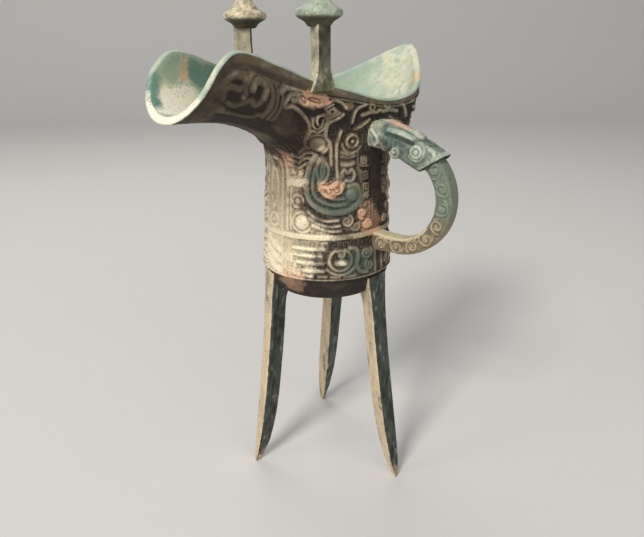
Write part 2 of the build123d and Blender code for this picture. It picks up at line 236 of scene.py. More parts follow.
# %% The patina group and its helpers
patina = bpy.data.node_groups.new("bronze_patina", "ShaderNodeTree")
patina_colours = ["Recess", "Bronze", "Crest", "Chalk", "Earth", "Verdigris"]
patina_masks = ["Relief", "Chalk Mask", "Earth Mask", "Verdigris Mask"]
for socket_name in patina_colours:
    patina.interface.new_socket(socket_name, in_out="INPUT", socket_type="NodeSocketColor")
for socket_name in patina_masks:
    patina.interface.new_socket(socket_name, in_out="INPUT", socket_type="NodeSocketFloat")
patina.interface.new_socket("Color", in_out="OUTPUT", socket_type="NodeSocketColor")
patina.interface.new_socket("Roughness", in_out="OUTPUT", socket_type="NodeSocketFloat")
patina.interface.new_socket("Grain", in_out="OUTPUT", socket_type="NodeSocketFloat")
given = patina.nodes.new("NodeGroupInput").outputs
result = patina.nodes.new("NodeGroupOutput").inputs
here = patina.nodes.new("ShaderNodeTexCoord").outputs["Object"]


def calculate(operation, first, second, clamp=False):
    """One Math node; an operand is a socket or a number."""
    node = patina.nodes.new("ShaderNodeMath")
    node.operation = operation
    node.use_clamp = clamp
    for socket, value in zip(node.inputs, (first, second)):
        if isinstance(value, (int, float)):
            socket.default_value = value
        else:
            patina.links.new(value, socket)
    return node.outputs[0]


def scaled(value, factor, shift):
    """A value times a factor, plus a shift."""
    return calculate("ADD", calculate("MULTIPLY", value, factor), shift)


def ramp(value, low, high):
    """Smooth step of a value from 0 at low to 1 at high."""
    node = patina.nodes.new("ShaderNodeMapRange")
    node.interpolation_type = "SMOOTHSTEP"
    patina.links.new(value, node.inputs["Value"])
    node.inputs["From Min"].default_value = low
    node.inputs["From Max"].default_value = high
    return node.outputs["Result"]


def blend(share, first, second):
    """Mix of two colour sockets by a share."""
    node = patina.nodes.new("ShaderNodeMix")
    node.data_type = "RGBA"
    for socket_name, socket in (("Factor", share), ("A", first), ("B", second)):
        patina.links.new(socket, node.inputs[socket_name])
    return node.outputs["Result"]


def noise(scale, detail):
    """Noise in Object coordinates, in lumps per metre."""
    node = patina.nodes.new("ShaderNodeTexNoise")
    patina.links.new(here, node.inputs["Vector"])
    node.inputs["Scale"].default_value = scale
    node.inputs["Detail"].default_value = detail
    node.inputs["Roughness"].default_value = 0.6
    return node.outputs["Fac"]


print("inputs of the patina:", len(patina_colours) + len(patina_masks))

# %% [markdown]
# ## Layers of the patina
# The layers lie as they grew: bare bronze from dark hollows to rubbed crests, then verdigris, earth and
# chalk, then pits. The masks come from each mesh as attributes, and noise breaks their edges so that none
# looks drawn.

# %% Layers
blot = noise(260, 5)
speck = noise(1100, 4)
dust = noise(2600, 2)


def broken(mask, spread, low, high):
    """A mask whose edge is broken by blots and specks before it is stepped."""
    rough = calculate("ADD", calculate("MULTIPLY", blot, 0.65), calculate("MULTIPLY", speck, 0.35))
    moved = calculate("MULTIPLY", calculate("SUBTRACT", rough, 0.5), spread)
    return ramp(calculate("ADD", mask, moved), low, high)


uneven_height = calculate("MULTIPLY", calculate("SUBTRACT", blot, 0.5), 0.5)
height = calculate("ADD", given["Relief"], uneven_height)
skin = blend(ramp(height, 0.0, 0.55), given["Recess"], given["Bronze"])
crest_share = calculate("MULTIPLY", ramp(height, 0.5, 1.0), ramp(blot, 0.25, 0.6))
skin = blend(crest_share, skin, given["Crest"])
green_hold = scaled(given["Relief"], 0.5, 0.4)
crust_hold = scaled(given["Relief"], 0.8, 0.26)
for finish, hold, spread, low, high in (("Verdigris", green_hold, 1.4, 0.25, 0.8),
                                        ("Earth", crust_hold, 2.2, 0.3, 0.85),
                                        ("Chalk", crust_hold, 1.6, 0.25, 0.8)):
    covered = calculate("MULTIPLY", broken(given[f"{finish} Mask"], spread, low, high), hold, clamp=True)
    skin = blend(covered, skin, given[finish])
pits = calculate("MULTIPLY", ramp(speck, 0.44, 0.3), 0.7)
skin = blend(pits, skin, given["Recess"])
shade = patina.nodes.new("ShaderNodeHueSaturation")
patina.links.new(scaled(dust, 0.5, 0.75), shade.inputs["Value"])
patina.links.new(skin, shade.inputs["Color"])
patina.links.new(shade.outputs["Color"], result["Color"])
patina.links.new(scaled(height, -0.3, 0.85), result["Roughness"])
grain = calculate("ADD", calculate("MULTIPLY", speck, 0.7), calculate("MULTIPLY", dust, 0.3))
patina.links.new(grain, result["Grain"])
print("nodes in the patina:", len(patina.nodes))

# %% [markdown]
# ## The bronzes
# Cup, lining, legs, posts, bow and head weathered differently, so each has a material with its own six
# colours, from the recess to the verdigris. The shader stays in the material, and the grain becomes a bump.

# %% Materials
bump_strength = 0.6
grain_height = 0.00022


def patinated(name, *codes, metal=0.15):
    """A bronze material: the patina group with its own six colours, fed by the mesh's masks."""
    material = bpy.data.materials.new(name)
    material.use_nodes = True
    tree = material.node_tree
    shader = tree.nodes["Principled BSDF"]
    shader.inputs["Metallic"].default_value = metal
    group = tree.nodes.new("ShaderNodeGroup")
    group.node_tree = patina
    for socket_name, code in zip(patina_colours, codes):
        group.inputs[socket_name].default_value = colour(code)
    for socket_name, mask in zip(patina_masks, ("relief", "chalk", "earth", "verdigris")):
        attribute = tree.nodes.new("ShaderNodeAttribute")
        attribute.attribute_name = mask
        tree.links.new(attribute.outputs["Fac"], group.inputs[socket_name])
    bump = tree.nodes.new("ShaderNodeBump")
    bump.inputs["Strength"].default_value = bump_strength
    bump.inputs["Distance"].default_value = grain_height
    tree.links.new(group.outputs["Grain"], bump.inputs["Height"])
    tree.links.new(bump.outputs["Normal"], shader.inputs["Normal"])
    tree.links.new(group.outputs["Color"], shader.inputs["Base Color"])
    tree.links.new(group.outputs["Roughness"], shader.inputs["Roughness"])
    return material


# In body_bronze the recess colour also fills the painted shade spots, and the chalk colour also paints a
# highlight on an eye.
body_bronze = patinated("body_bronze", "2a2119", "5f5140", "ac9e82", "ecdcbb", "dcae8c", "4c5c4f")
lining_bronze = patinated("lining_bronze", "85886f", "9dae99", "c9c6aa", "ece3cb", "d8b587", "437a6b",
                          metal=0.0)
# The legs' and posts' chalk colours also paint light on the faces turned to the lamps, and the legs'
# verdigris colour paints shade on the faces turned away.
leg_bronze = patinated("leg_bronze", "262922", "4c5047", "9ba18f", "e2c9a4", "d6ae88", "46524a")
post_bronze = patinated("post_bronze", "403a2e", "6f6b57", "aaa68c", "ddd0b0", "cbb088", "a2b09b")
bow_bronze = patinated("bow_bronze", "41382c", "82745a", "b8ab8d", "e0d3ad", "947c60", "6e8171")
head_bronze = patinated("head_bronze", "3c4037", "7a8576", "b6bca8", "d4cdb6", "cba284", "5d8070")
print("materials:", len(bpy.data.materials))

# %% [markdown]
# ## Smooth curves through a few marks
# The vessel's outline is given at a few marks. Between two marks runs a cubic, and its slope at a mark is
# the slope between the mark's neighbours, so the line passes through every mark without a corner.

# %% Marks of the vessel
def flow(where, marks):
    """Cubic through (place, value) marks; the slope at a mark is that of the line between its neighbours."""
    knots, values = np.array(marks, float).T
    order = np.arange(len(knots))
    before, after = np.maximum(order - 1, 0), np.minimum(order + 1, len(knots) - 1)
    slopes = (values[after] - values[before]) / (knots[after] - knots[before])
    i = np.clip(np.searchsorted(knots, where, side="right") - 1, 0, len(knots) - 2)
    span = knots[i + 1] - knots[i]
    t = (where - knots[i]) / span
    leaving = values[i] + slopes[i] * span * t * (1 - t) ** 2
    between = (values[i + 1] - values[i]) * t * t * (3 - 2 * t)
    return leaving + between - slopes[i + 1] * span * t * t * (1 - t)


def step(value, low, high):
    """Smooth step from 0 at low to 1 at high."""
    t = np.clip((value - low) / (high - low), 0, 1)
    return t * t * (3 - 2 * t)


spout_reach = -vessel_low[0]
tail_reach = vessel_high[0]
tail_top = vessel_high[2]
cup_edge = 105.0
waist = 155.0
edge_radius = 29.2
waist_radius = 26.0
wall = 2.6
rib_height = 124.0

half_width_marks = [(-1.03 * spout_reach, 16.8), (-0.74 * spout_reach, 17.5), (-0.51 * spout_reach, 18.5),
                    (-27.0, 20.2), (-12.2, 25.7), (0.12 * tail_reach, 28.3), (0.36 * tail_reach, 29.2),
                    (0.61 * tail_reach, 22.9), (0.88 * tail_reach, 10.3), (tail_reach, 1.6)]
keel_marks = [(-1.03 * spout_reach, 176.0), (-0.74 * spout_reach, 174.2), (-0.51 * spout_reach, 168.3),
              (-27.0, 158.2), (0.12 * tail_reach, 141.0), (0.36 * tail_reach, 150.1),
              (0.61 * tail_reach, 168.2), (tail_reach, tail_top - 1.6)]
rim_marks = [(-spout_reach, 176.0), (-0.945 * spout_reach, 184.1), (-0.88 * spout_reach, 192.6),
             (-0.78 * spout_reach, 197.8), (-0.57 * spout_reach, 193.3), (-27.0, 186.6),
             (0.12 * tail_reach, 178.8), (0.61 * tail_reach, 186.3), (tail_reach, tail_top)]
print("rim at the spout's tip and flank:", flow(np.array([-84.0, -66.0, -27.0]), rim_marks).round(1))

# %% [markdown]
# ## The mouth as a trough
# Spout, mouth and tail are one open trough: a half circle that rests on its keel, with straight sides up to
# the rim. A place on it is a pair, how far along and how far round, which is what a grid needs.

# %% Trough and rim
flank_samples = 3000
end_samples = 200


def trough_size(x, inset):
    """Half-width and keel height of the mouth's trough at x, for a skin set in from the outer one. Where the
    skin slopes, the inset grows by the length of the slope."""
    def slope(marks):
        return np.hypot(1, flow(x + 0.5, marks) - flow(x - 0.5, marks))
    half = flow(x, half_width_marks) - inset * slope(half_width_marks)
    keel = flow(x, keel_marks) + inset * slope(keel_marks)
    return half, keel


def trough(x, angle, inset=0.0):
    """Point of the trough: a half circle from the keel up to a quarter turn, then a straight side."""
    half, keel = trough_size(x, inset)
    bend = np.minimum(angle, np.pi / 2)
    straight = np.maximum(angle - np.pi / 2, 0)
    return np.stack([x, half * np.sin(bend), keel + half * (1 - np.cos(bend) + straight)], axis=-1)


def rim_angle(x, inset):
    """Angle at which the trough reaches the rim line: the inverse of the trough's height."""
    half, keel = trough_size(x, inset)
    rise = (flow(x, rim_marks) - keel) / half
    return np.where(rise < 1, np.arccos(np.clip(1 - rise, -1, 1)), np.pi / 2 + rise - 1)


def spaced(values, points, count):
    """Take count samples of values that lie at even distances along the line of points."""
    length = np.concatenate([[0], np.cumsum(np.linalg.norm(np.diff(points, axis=0), axis=1))])
    even = np.linspace(0, length[-1], count)
    return [np.interp(even, length, value) for value in values]


def rim_line(count, end, inset):
    """Places along one side of the rim, from the spout's tip round the flank and across the blunt end of the
    tail: x and angle on the trough, and the point itself, which stays level across the tail's end."""
    search = np.linspace(-spout_reach, -0.9 * spout_reach, 400)
    above = flow(search, rim_marks) - trough_size(search, inset)[1]
    start = np.interp(0, above, search)
    x = start + (end - start) * np.linspace(0, 1, flank_samples) ** 2
    angle = rim_angle(x, inset)
    walk = np.linspace(0, 1, end_samples)
    x = np.concatenate([np.full(end_samples, start), x, np.full(end_samples, end)])
    angle = np.concatenate([angle[0] * walk, angle, angle[-1] * (1 - walk)])
    points = trough(x, angle, inset)
    points[-end_samples:, 1] = points[-end_samples, 1] * (1 - walk)
    points[-end_samples:, 2] = points[-end_samples, 2]
    x, angle, *point = spaced((x, angle, *points.T), points, count)
    return x, angle, np.stack(point, axis=-1)


def hollow_end(inset):
    """Where the inner skin runs out at the tail: its width is gone, or its keel has reached the rim."""
    search = np.linspace(0.8 * tail_reach, tail_reach, 600)
    half, keel = trough_size(search, inset)
    open_there = (half > 0.5) & (flow(search, rim_marks) - keel > 0.3)
    return search[open_there].max()


print("inner skin ends at x in mm:", hollow_end(wall).round(1))

# %% [markdown]
# ## The wall, from the rib round the cup up to the lip
# The cup is round and the mouth is a trough, and the casting flows from one into the other. Each column of
# the grid climbs the cup, crosses the joint on a short parabola and runs along the trough to the rim. The
# inner skin is the same formula, set in by the wall, and a half round lip joins the two.

# %% One half of the wall
flank_columns = 350
neck_share_marks = [(0.0, 0.0), (0.37, 0.24), (0.54, 0.5), (0.72, 0.8), (1.0, 1.0)]
lip_height = 0.9


def cup_radius(z):
    """The cup narrows evenly from its lower edge to the waist."""
    return np.interp(z, [cup_edge, waist], [edge_radius, waist_radius])


def half_skin(inset, tail_end, cup_rows, bend_rows, trough_rows, bend_length):
    """Rows from the rib to the rim, for the side with y above 0: up the cup, a parabola whose middle handle
    is the corner between cup and trough, and a straight line in (x, angle) to the matching place on the rim.
    On the tail the angle is a part of the rim's own angle there, so no row climbs over the rim."""
    share = np.linspace(0, 1, flank_columns + 1)
    azimuth = np.pi * (1 - flow(share, neck_share_marks))
    radius = waist_radius - inset
    neck_x = radius * np.cos(azimuth)
    half = trough_size(neck_x, inset)[0]
    neck_angle = np.arcsin(np.clip(radius * np.sin(azimuth) / half, 0, 1))
    corner = trough(neck_x, neck_angle, inset)
    rim_x, rim_a, rim_point = rim_line(flank_columns + 1, tail_end, inset)
    lifted = rim_point - trough(rim_x, rim_a, inset)

    tailward = step(rim_x, -15, 25)
    neck_part = neck_angle / rim_angle(neck_x, inset)
    rim_part = np.where(tailward > 0, rim_a / np.maximum(rim_angle(rim_x, inset), 0.05), 1)

    def along(t):
        x = neck_x + (rim_x - neck_x) * t
        straight = neck_angle + (rim_a - neck_angle) * t
        below_rim = (neck_part + (rim_part - neck_part) * t) * rim_angle(x, inset)
        on_trough = trough(x, straight + (below_rim - straight) * tailward, inset)
        return on_trough + lifted * (t ** 16)[..., None]

    fine = along(np.linspace(0, 1, 200)[:, None])
    length = np.linalg.norm(np.diff(fine, axis=0), axis=2).sum(0)
    bend = np.minimum(bend_length, 0.45 * length)
    bend_end = bend / length
    z = np.linspace(rib_height, corner[:, 2] - bend, cup_rows)
    r = cup_radius(z) - inset
    cup = np.stack([r * np.cos(azimuth), r * np.sin(azimuth), z], axis=-1)
    s = np.linspace(0, 1, bend_rows + 2)[1:-1, None, None]
    fillet = (1 - s) ** 2 * cup[-1] + 2 * s * (1 - s) * corner + s ** 2 * along(bend_end)
    t = bend_end + (1 - lip_height / length - bend_end) * np.linspace(0, 1, trough_rows)[:, None]
    return np.concatenate([cup, fillet, along(t)])


def outward(points):
    """Unit normals of a grid: the cross product of its steps along rows and columns, turned away from the
    axis."""
    normal = np.cross(np.gradient(points, axis=0), np.gradient(points, axis=1))
    normal /= np.linalg.norm(normal, axis=2, keepdims=True)
    facing = np.sum(normal[0, :, :2] * points[0, :, :2])
    return normal * np.sign(facing)


print("cup's radius at the rib in mm:", cup_radius(rib_height).round(2))

# %% [markdown]
# ## Drawing relief
# The founder carved the ornament into the mould. Here each line is a path on the unrolled wall, and the
# relief at a point depends only on its distance to the path, like the section of a worn ridge: high and round
# over the path, and gone at its foot. Taking the highest of all lines lets them cross as castings do.

# %% Paths and strokes
ground = -0.35
ridge_foot = 0.35


def curve(points, samples=8):
    """A smooth path through points, from the same cubic as the vessel's marks, run over the point numbers."""
    points = np.array(points, float)
    order = np.arange(len(points))
    where = np.linspace(0, len(points) - 1, samples * (len(points) - 1) + 1)
    return np.stack([flow(where, np.stack([order, points[:, i]], axis=1)) for i in (0, 1)], axis=1)


def polar(centre, radius, angle):
    """Points at a distance and an angle from a centre."""
    return np.stack([centre[0] + radius * np.cos(angle), centre[1] + radius * np.sin(angle)], axis=1)


def ring(centre, radius, start=0.0, end=360.0):
    """An arc round a centre, by its start and end angles in degrees."""
    return polar(centre, radius, np.radians(np.linspace(start, end, 40)))


def spiral(centre, radius, turns=1.75, start=0.0, handed=1):
    """A round spiral whose radius grows evenly with the angle."""
    share = np.linspace(0.12, 1, 60)
    angle = np.radians(start) + handed * 2 * np.pi * turns * share
    return polar(centre, radius * share, angle)


def square_spiral(centre, radius, turns=8, tilt=0.0, handed=1):
    """A thunder scroll: straight runs at right angles, each quarter turn a step longer than the last."""
    run = np.arange(turns + 1)
    angle = np.radians(45 + tilt) + handed * run * np.pi / 2
    reach = radius * (run + 1) / (turns + 1) * 1.3
    return polar(centre, reach, angle)


def stroke(relief, u, v, path, width, lift, foot=ridge_foot):
    """Raise (or, with a lift below the ground, sink) the relief along a path of a given width. A thin line
    has a thin foot, so that lines close together stay apart."""
    path = np.array(path, float)
    reach = width / 2 + min(foot, 0.6 * width)
    low, high = path.min(0) - reach, path.max(0) + reach
    near = np.flatnonzero((u > low[0]) & (u < high[0]) & (v > low[1]) & (v < high[1]))
    start, run = path[:-1], np.diff(path, axis=0)
    pu, pv = u.flat[near][:, None] - start[:, 0], v.flat[near][:, None] - start[:, 1]
    share = np.clip((pu * run[:, 0] + pv * run[:, 1]) / (run ** 2).sum(1), 0, 1)
    gap = np.hypot(pu - share * run[:, 0], pv - share * run[:, 1]).min(1, initial=np.inf)
    risen = ground + (lift - ground) * np.clip(1 - (gap / reach) ** 2, 0, 1) ** 0.6
    if lift > ground:
        relief.flat[near] = np.maximum(relief.flat[near], risen)
    else:
        relief.flat[near] += risen - ground


def boss(relief, u, v, centre, radius, lift):
    """A round knob: the upper part of an ellipse over its radius."""
    gap = np.hypot(u - centre[0], v - centre[1]) / radius
    dome = ground + (lift - ground) * np.sqrt(np.clip(1 - gap ** 2, 0, 1))
    np.maximum(relief, np.where(gap < 1, dome, ground), out=relief)


print("points in one spiral:", len(spiral((0, 0), 1.0)))

# %% [markdown]
# ## The beast's face
# A beast's face fills each side of the cup: a long hooked jaw with a ball in its curl, round eyes, a double
# ridge for the nose, and thunder scrolls beside it. A line is a path, a width and a lift, and a boss is a
# centre, a radius and a lift, all in millimetres. A place is the arc round the cup and the height.

# %% Lines of the face
face_lines = [
    (curve([(14.4, 158.6), (11.4, 153), (10.3, 146), (11.4, 140.4), (15.4, 136.8), (21.5, 135.0),
            (27.6, 135.4), (32.0, 137.8), (33.4, 141.8), (31.8, 145.6), (28.6, 145.4)]), 1.7, 1.0),
    (curve([(16.0, 157.4), (13.8, 152), (12.9, 146.4), (13.9, 142.0), (17.2, 139.4), (22.0, 138.0),
            (26.8, 138.2)]), 1.0, 0.75),
    (curve([(15.2, 147.4), (16.3, 143.9), (19.2, 141.6), (23.0, 140.4), (26.4, 140.6)]), 0.8, 0.6),
    (curve([(17.2, 146.0), (20.0, 145.4), (22.6, 147.4), (25.2, 150.0)]), 2.6, 0.45),
    (curve([(19.0, 142.8), (21.4, 143.6), (24.4, 143.4), (26.0, 146.6)]), 1.6, 0.5),
    (curve([(17.2, 157.6), (14.9, 153.6), (15.2, 149.6), (16.8, 146.9)]), 0.8, 0.7),
    (curve([(17.2, 157.6), (19.6, 153.4), (19.0, 149.4), (16.8, 146.9)]), 0.8, 0.7),
    (curve([(17.2, 155.4), (16.6, 152.0), (16.9, 148.8)]), 0.7, 0.55),
    (curve([(18.0, 154.6), (17.9, 152.0), (17.6, 149.6)]), 0.5, 0.45),
    (curve([(24.7, 174.5), (22.8, 173.2), (20.9, 172.4), (19.4, 171.6), (18.6, 169.4), (18.5, 166.0),
            (20.3, 163.0), (20.8, 154.6)]), 1.0, 0.9),
    (curve([(24.4, 168.2), (23.6, 165.5), (22.9, 162.6), (22.9, 158.4), (23.4, 149.6)]), 0.9, 0.9),
    (curve([(25.0, 159.4), (28.0, 158.6), (31.4, 159.6)]), 0.7, 0.6),
    (curve([(25.0, 157.8), (28.0, 157.1), (31.2, 157.8)]), 0.7, 0.6),
    (curve([(25.6, 154.6), (28.2, 154.4), (30.6, 154.9)]), 1.8, 0.6),
    (curve([(25.2, 150.9), (26.4, 152.3), (28.0, 151.0), (29.8, 152.3), (31.0, 150.2), (29.8, 147.8),
            (27.0, 148.0)]), 1.0, 0.7),
    (curve([(32.6, 160.6), (33.0, 153.0), (34.4, 146.6)]), 0.6, 0.5),
    (square_spiral((35.8, 155.2), 2.3, turns=7), 0.42, 0.75),
    (square_spiral((36.2, 149.6), 2.2, turns=7, handed=-1), 0.42, 0.7),
    (square_spiral((36.8, 144.5), 1.9, turns=6), 0.42, 0.7),
    (spiral((36.6, 140.8), 1.8, 1.25, 120), 0.7, 0.65),
    ([(33.2, 138.6), (37.8, 142.4)], 1.2, 0.6),
    ([(3.2, 157.0), (7.4, 155.4), (10.4, 157.6), (13.8, 157.4)], 0.8, 0.8),
    ([(5.4, 158.6), (8.0, 157.6), (10.8, 159.8), (13.4, 159.8)], 0.75, 0.75),
    ([(2.6, 154.8), (7.4, 153.2), (10.6, 155.4), (12.8, 155.4)], 0.75, 0.75),
    ([(8.4, 159.8), (10.8, 161.8), (12.4, 161.8)], 0.7, 0.65),
    ([(1.8, 147.1), (9.2, 147.1)], 3.0, 0.85),
    ([(3.0, 144.2), (3.0, 127.4)], 0.7, 0.5),
    ([(1.3, 126.6), (1.3, 156.0)], 0.8, 0.55),
    (ring((8.3, 130.6), 4.3, 60, 320), 0.6, 0.45),
    (spiral((7.9, 131.2), 1.9, 1.5, 90), 0.5, 1.65),
    (ring((6.4, 139.4), 2.6, 0, 270), 0.9, 0.6),
    (curve([(10.6, 135.6), (14.0, 133.0), (18.4, 131.6), (23.6, 131.8)]), 1.0, 0.7),
    (curve([(11.8, 132.6), (15.4, 130.4), (19.6, 129.2), (24.2, 129.4)]), 0.8, 0.6),
    (curve([(13.2, 129.6), (16.6, 128.2), (20.4, 127.2), (24.8, 127.2)]), 0.8, 0.6),
    (spiral((27.4, 131.2), 2.5, 1.6, 200), 0.8, 0.7),
    (spiral((31.2, 128.7), 1.9, 1.5, 20, -1), 0.7, 0.65),
    (spiral((34.4, 133.6), 2.2, 1.5, 100), 0.7, 0.6),
    (spiral((37.0, 128.6), 2.2, 1.75, 250, -1), 0.7, 0.65),
    ([(21.2, 178.5), (18.5, 177.2), (20.0, 173.5), (23.5, 175.2), (21.1, 177.3), (19.4, 176.0), (20.8, 174.7),
      (22.0, 175.6), (21.1, 176.4)], 0.42, 0.85),
    (curve([(18.0, 174.9), (19.2, 172.8), (18.5, 171.0), (17.4, 169.4), (15.8, 168.5), (14.4, 169.2),
            (13.2, 168.2)]), 0.6, 0.8),
    (curve([(14.9, 174.0), (14.7, 171.4), (15.4, 170.0), (16.3, 169.9), (17.4, 171.2), (17.8, 173.0)]),
     0.42, 0.75),
    (curve([(17.6, 174.7), (16.3, 174.4), (15.8, 172.9), (16.2, 171.2)]), 0.42, 0.75),
    (curve([(19.7, 178.9), (21.4, 179.9), (24.2, 178.7), (25.8, 176.9)]), 0.8, 0.85),
    (curve([(35.2, 177.5), (31.1, 176.4), (29.3, 173.9), (28.7, 171.0)]), 0.7, 0.7),
    (curve([(33.3, 173.6), (37.7, 174.4), (41.0, 174.2), (43.2, 174.8)]), 1.1, 0.7),
    (curve([(30.4, 168.4), (33.6, 169.6), (37.0, 171.6)]), 0.9, 0.6),
    (ring((38.6, 176.2), 1.3), 0.6, 0.7),
    (ring((29.5, 163.7), 2.5), 0.7, 1.0),
    (ring((29.6, 163.6), 4.5, 190, 330), 0.7, 0.55),
    (ring((15.6, 163.3), 4.1, -60, 200), 0.9, 0.6),
]
face_bosses = [((15.6, 163.3), 3.2, 1.5), ((29.6, 163.6), 1.0, 1.0), ((30.0, 142.2), 3.1, 1.7),
               ((4.6, 151.6), 1.4, 0.8), ((7.6, 151.0), 1.5, 0.8), ((8.3, 130.6), 3.3, 1.6),
               ((6.4, 139.4), 1.4, 0.8)]
face_cuts = [
    (curve([(18.2, 144.4), (19.4, 142.9), (20.9, 143.6), (20.4, 144.8)]), 0.35, 0.7),
    (curve([(21.6, 144.6), (22.8, 143.2), (24.4, 144.0), (24.0, 145.4)]), 0.35, 0.7),
    (curve([(17.0, 146.6), (19.8, 146.6), (22.4, 148.4)]), 0.35, 0.6),
    (curve([(34.4, 136.6), (36.4, 135.6), (38.6, 136.4)]), 0.4, 0.7),
    (curve([(36.2, 132.6), (38.4, 133.6), (40.2, 132.4), (39.6, 130.6)]), 0.4, 0.7),
    (curve([(32.6, 131.4), (34.2, 130.2), (36.0, 130.8)]), 0.4, 0.6),
]
print("face:", len(face_lines), "lines,", len(face_bosses), "bosses,", len(face_cuts), "cuts")

# %% [markdown]
# ## The band and the strip under the spout
# Below the rib runs a band of bars and eyes. On the far side of the line under the spout the face gives way
# to a strip with a long leaf, a ring, and the strands of a rope below them, which a loop repeats.

# %% Lines of the band and the strip
band_lines = [
    ([(17.4, 119.4), (4.4, 119.4)], 1.2, 0.7),
    ([(16.6, 116.4), (3.6, 116.4), (3.6, 112.9)], 1.1, 0.7),
    ([(17.0, 113.2), (6.0, 113.2), (5.2, 112.4), (5.2, 108.2)], 1.2, 0.75),
    ([(17.6, 109.9), (7.6, 109.9), (7.0, 109.2), (7.0, 107.6)], 1.2, 0.75),
    ([(9.4, 107.4), (13.0, 107.4)], 0.9, 0.55),
    ([(15.4, 107.4), (18.6, 107.4)], 0.9, 0.55),
    (ring((24.4, 114.6), 4.7, 110, 430), 0.8, 0.65),
    (spiral((24.6, 117.0), 2.0, 1.3, 30), 0.8, 0.75),
    ([(22.8, 113.2), (27.0, 113.0)], 1.9, 0.75),
    (curve([(18.8, 110.6), (22.0, 108.4), (26.6, 108.3), (30.2, 110.4)]), 0.9, 0.65),
    (curve([(28.4, 119.6), (31.0, 119.0), (32.2, 115.8), (31.6, 111.8), (33.0, 108.6), (36.2, 107.8)]),
     1.2, 0.75),
    (spiral((36.2, 116.4), 2.8, 1.75, 120), 0.8, 0.65),
    (spiral((37.6, 110.8), 2.3, 1.5, 300, -1), 0.8, 0.65),
    ([(20.4, 107.3), (24.0, 107.1)], 0.8, 0.5),
    ([(26.0, 107.0), (31.0, 107.2)], 0.8, 0.5),
    ([(41.0, 106.8), (41.0, 121.4)], 0.9, 0.55),
]
band_bosses = [((36.2, 116.4), 0.9, 0.8)]
rope_pitch = 4.7
rope_low = 107.4
rope_strands = 3
strip_lines = [
    ([(1.6, 107.0), (1.6, 158.0)], 0.9, 0.5),
    ([(12.6, 107.0), (12.6, 158.0)], 0.9, 0.5),
    (curve([(7.0, 153.4), (4.8, 148.0), (4.8, 140.0), (7.0, 135.0)]), 1.2, 0.6),
    (curve([(7.0, 153.4), (9.2, 148.0), (9.2, 140.0), (7.0, 135.0)]), 1.2, 0.6),
    (ring((7.0, 129.6), 2.8), 1.2, 0.6),
    ([(3.4, 156.6), (10.8, 156.6)], 1.4, 0.6),
]
strip_lines += [(curve([(3.0, low), (7.0, low + 1.4), (11.4, low + 4.6)]), 2.6, 0.75)
                for low in rope_low + rope_pitch * np.arange(rope_strands)]
strip_bosses = [((7.0, 129.6), 1.2, 0.7)]
print("band:", len(band_lines), "lines; strip:", len(strip_lines), "lines")

# %% [markdown]
# ## Dragons on the spout and scrolls on the tail
# A dragon lies coiled on each side of the spout, and a great scroll on each side of the tail. Here a place is
# how far along the mouth and the arc up from the keel, because the trough unrolls that way.

# %% Lines of the spout and the tail
spout_lines = [
    (curve([(-69.4, 13.4), (-73.2, 15.4), (-73.9, 19.7), (-71.8, 23.6), (-68.3, 26.1), (-65.2, 26.5),
            (-62.2, 25.2)]), 1.8, 0.6),
    (curve([(-61.6, 24.6), (-59.8, 27.6), (-55.4, 28.6), (-52.2, 26.2), (-50.3, 23.5), (-49.6, 19.3),
            (-50.9, 13.9)]), 1.1, 0.6),
    (curve([(-59.3, 22.6), (-58.6, 24.8), (-56.7, 25.9), (-54.5, 25.4), (-53.4, 23.6), (-53.6, 21.0)]),
     1.6, 0.85),
    (curve([(-71.0, 18.0), (-70.8, 20.8), (-68.4, 22.2), (-64.9, 21.8), (-62.6, 22.6), (-61.6, 20.4)]),
     1.1, 0.35),
    (curve([(-68.0, 16.4), (-65.2, 15.6), (-61.8, 16.8), (-59.0, 18.6), (-56.2, 17.2), (-54.4, 19.0)]),
     1.0, 0.3),
    (curve([(-68.6, 12.6), (-64.6, 12.0), (-59.8, 11.4), (-55.1, 11.7), (-52.4, 13.8)]), 0.8, 0.3),
    (curve([(-51.8, 28.4), (-48.6, 25.4), (-47.4, 19.8), (-48.3, 13.4)]), 0.7, 0.55),
    (curve([(-50.0, 28.8), (-46.4, 25.6), (-45.3, 20.2), (-46.2, 13.8)]), 0.7, 0.5),
    (curve([(-46.9, 25.0), (-44.9, 27.4), (-42.4, 28.4), (-37.2, 30.2), (-32.6, 32.0)]), 1.3, 0.85),
    (curve([(-44.4, 21.4), (-43.2, 24.8), (-41.2, 26.6), (-38.4, 28.2)]), 0.8, 0.7),
    (curve([(-41.2, 24.6), (-38.4, 26.0), (-35.0, 26.9), (-31.6, 28.2)]), 1.0, 0.7),
    (curve([(-43.6, 20.8), (-40.3, 22.6), (-35.9, 22.8), (-32.4, 22.0), (-30.4, 19.6), (-29.6, 15.6)]),
     0.9, 0.75),
    (curve([(-37.0, 28.8), (-33.4, 30.2), (-29.4, 31.8), (-25.2, 34.2)]), 2.6, 0.45),
    (curve([(-39.4, 26.8), (-35.6, 27.6), (-31.0, 29.4), (-27.4, 31.8)]), 0.9, 0.8),
]
spout_bosses = [((-62.4, 19.2), 1.3, 0.7), ((-40.2, 15.0), 6.2, 0.2)]
spout_cuts = [
    (curve([(-37.8, 27.4), (-36.6, 28.8), (-35.2, 28.2), (-35.8, 27.0), (-37.0, 27.2)]), 0.4, 0.8),
    (curve([(-34.4, 29.2), (-31.6, 31.4), (-28.8, 32.6), (-28.4, 31.8), (-30.8, 30.4), (-34.4, 29.2)]),
     0.35, 0.7),
    (curve([(-38.6, 29.0), (-35.6, 30.4), (-32.4, 32.2)]), 0.4, 0.6),
]
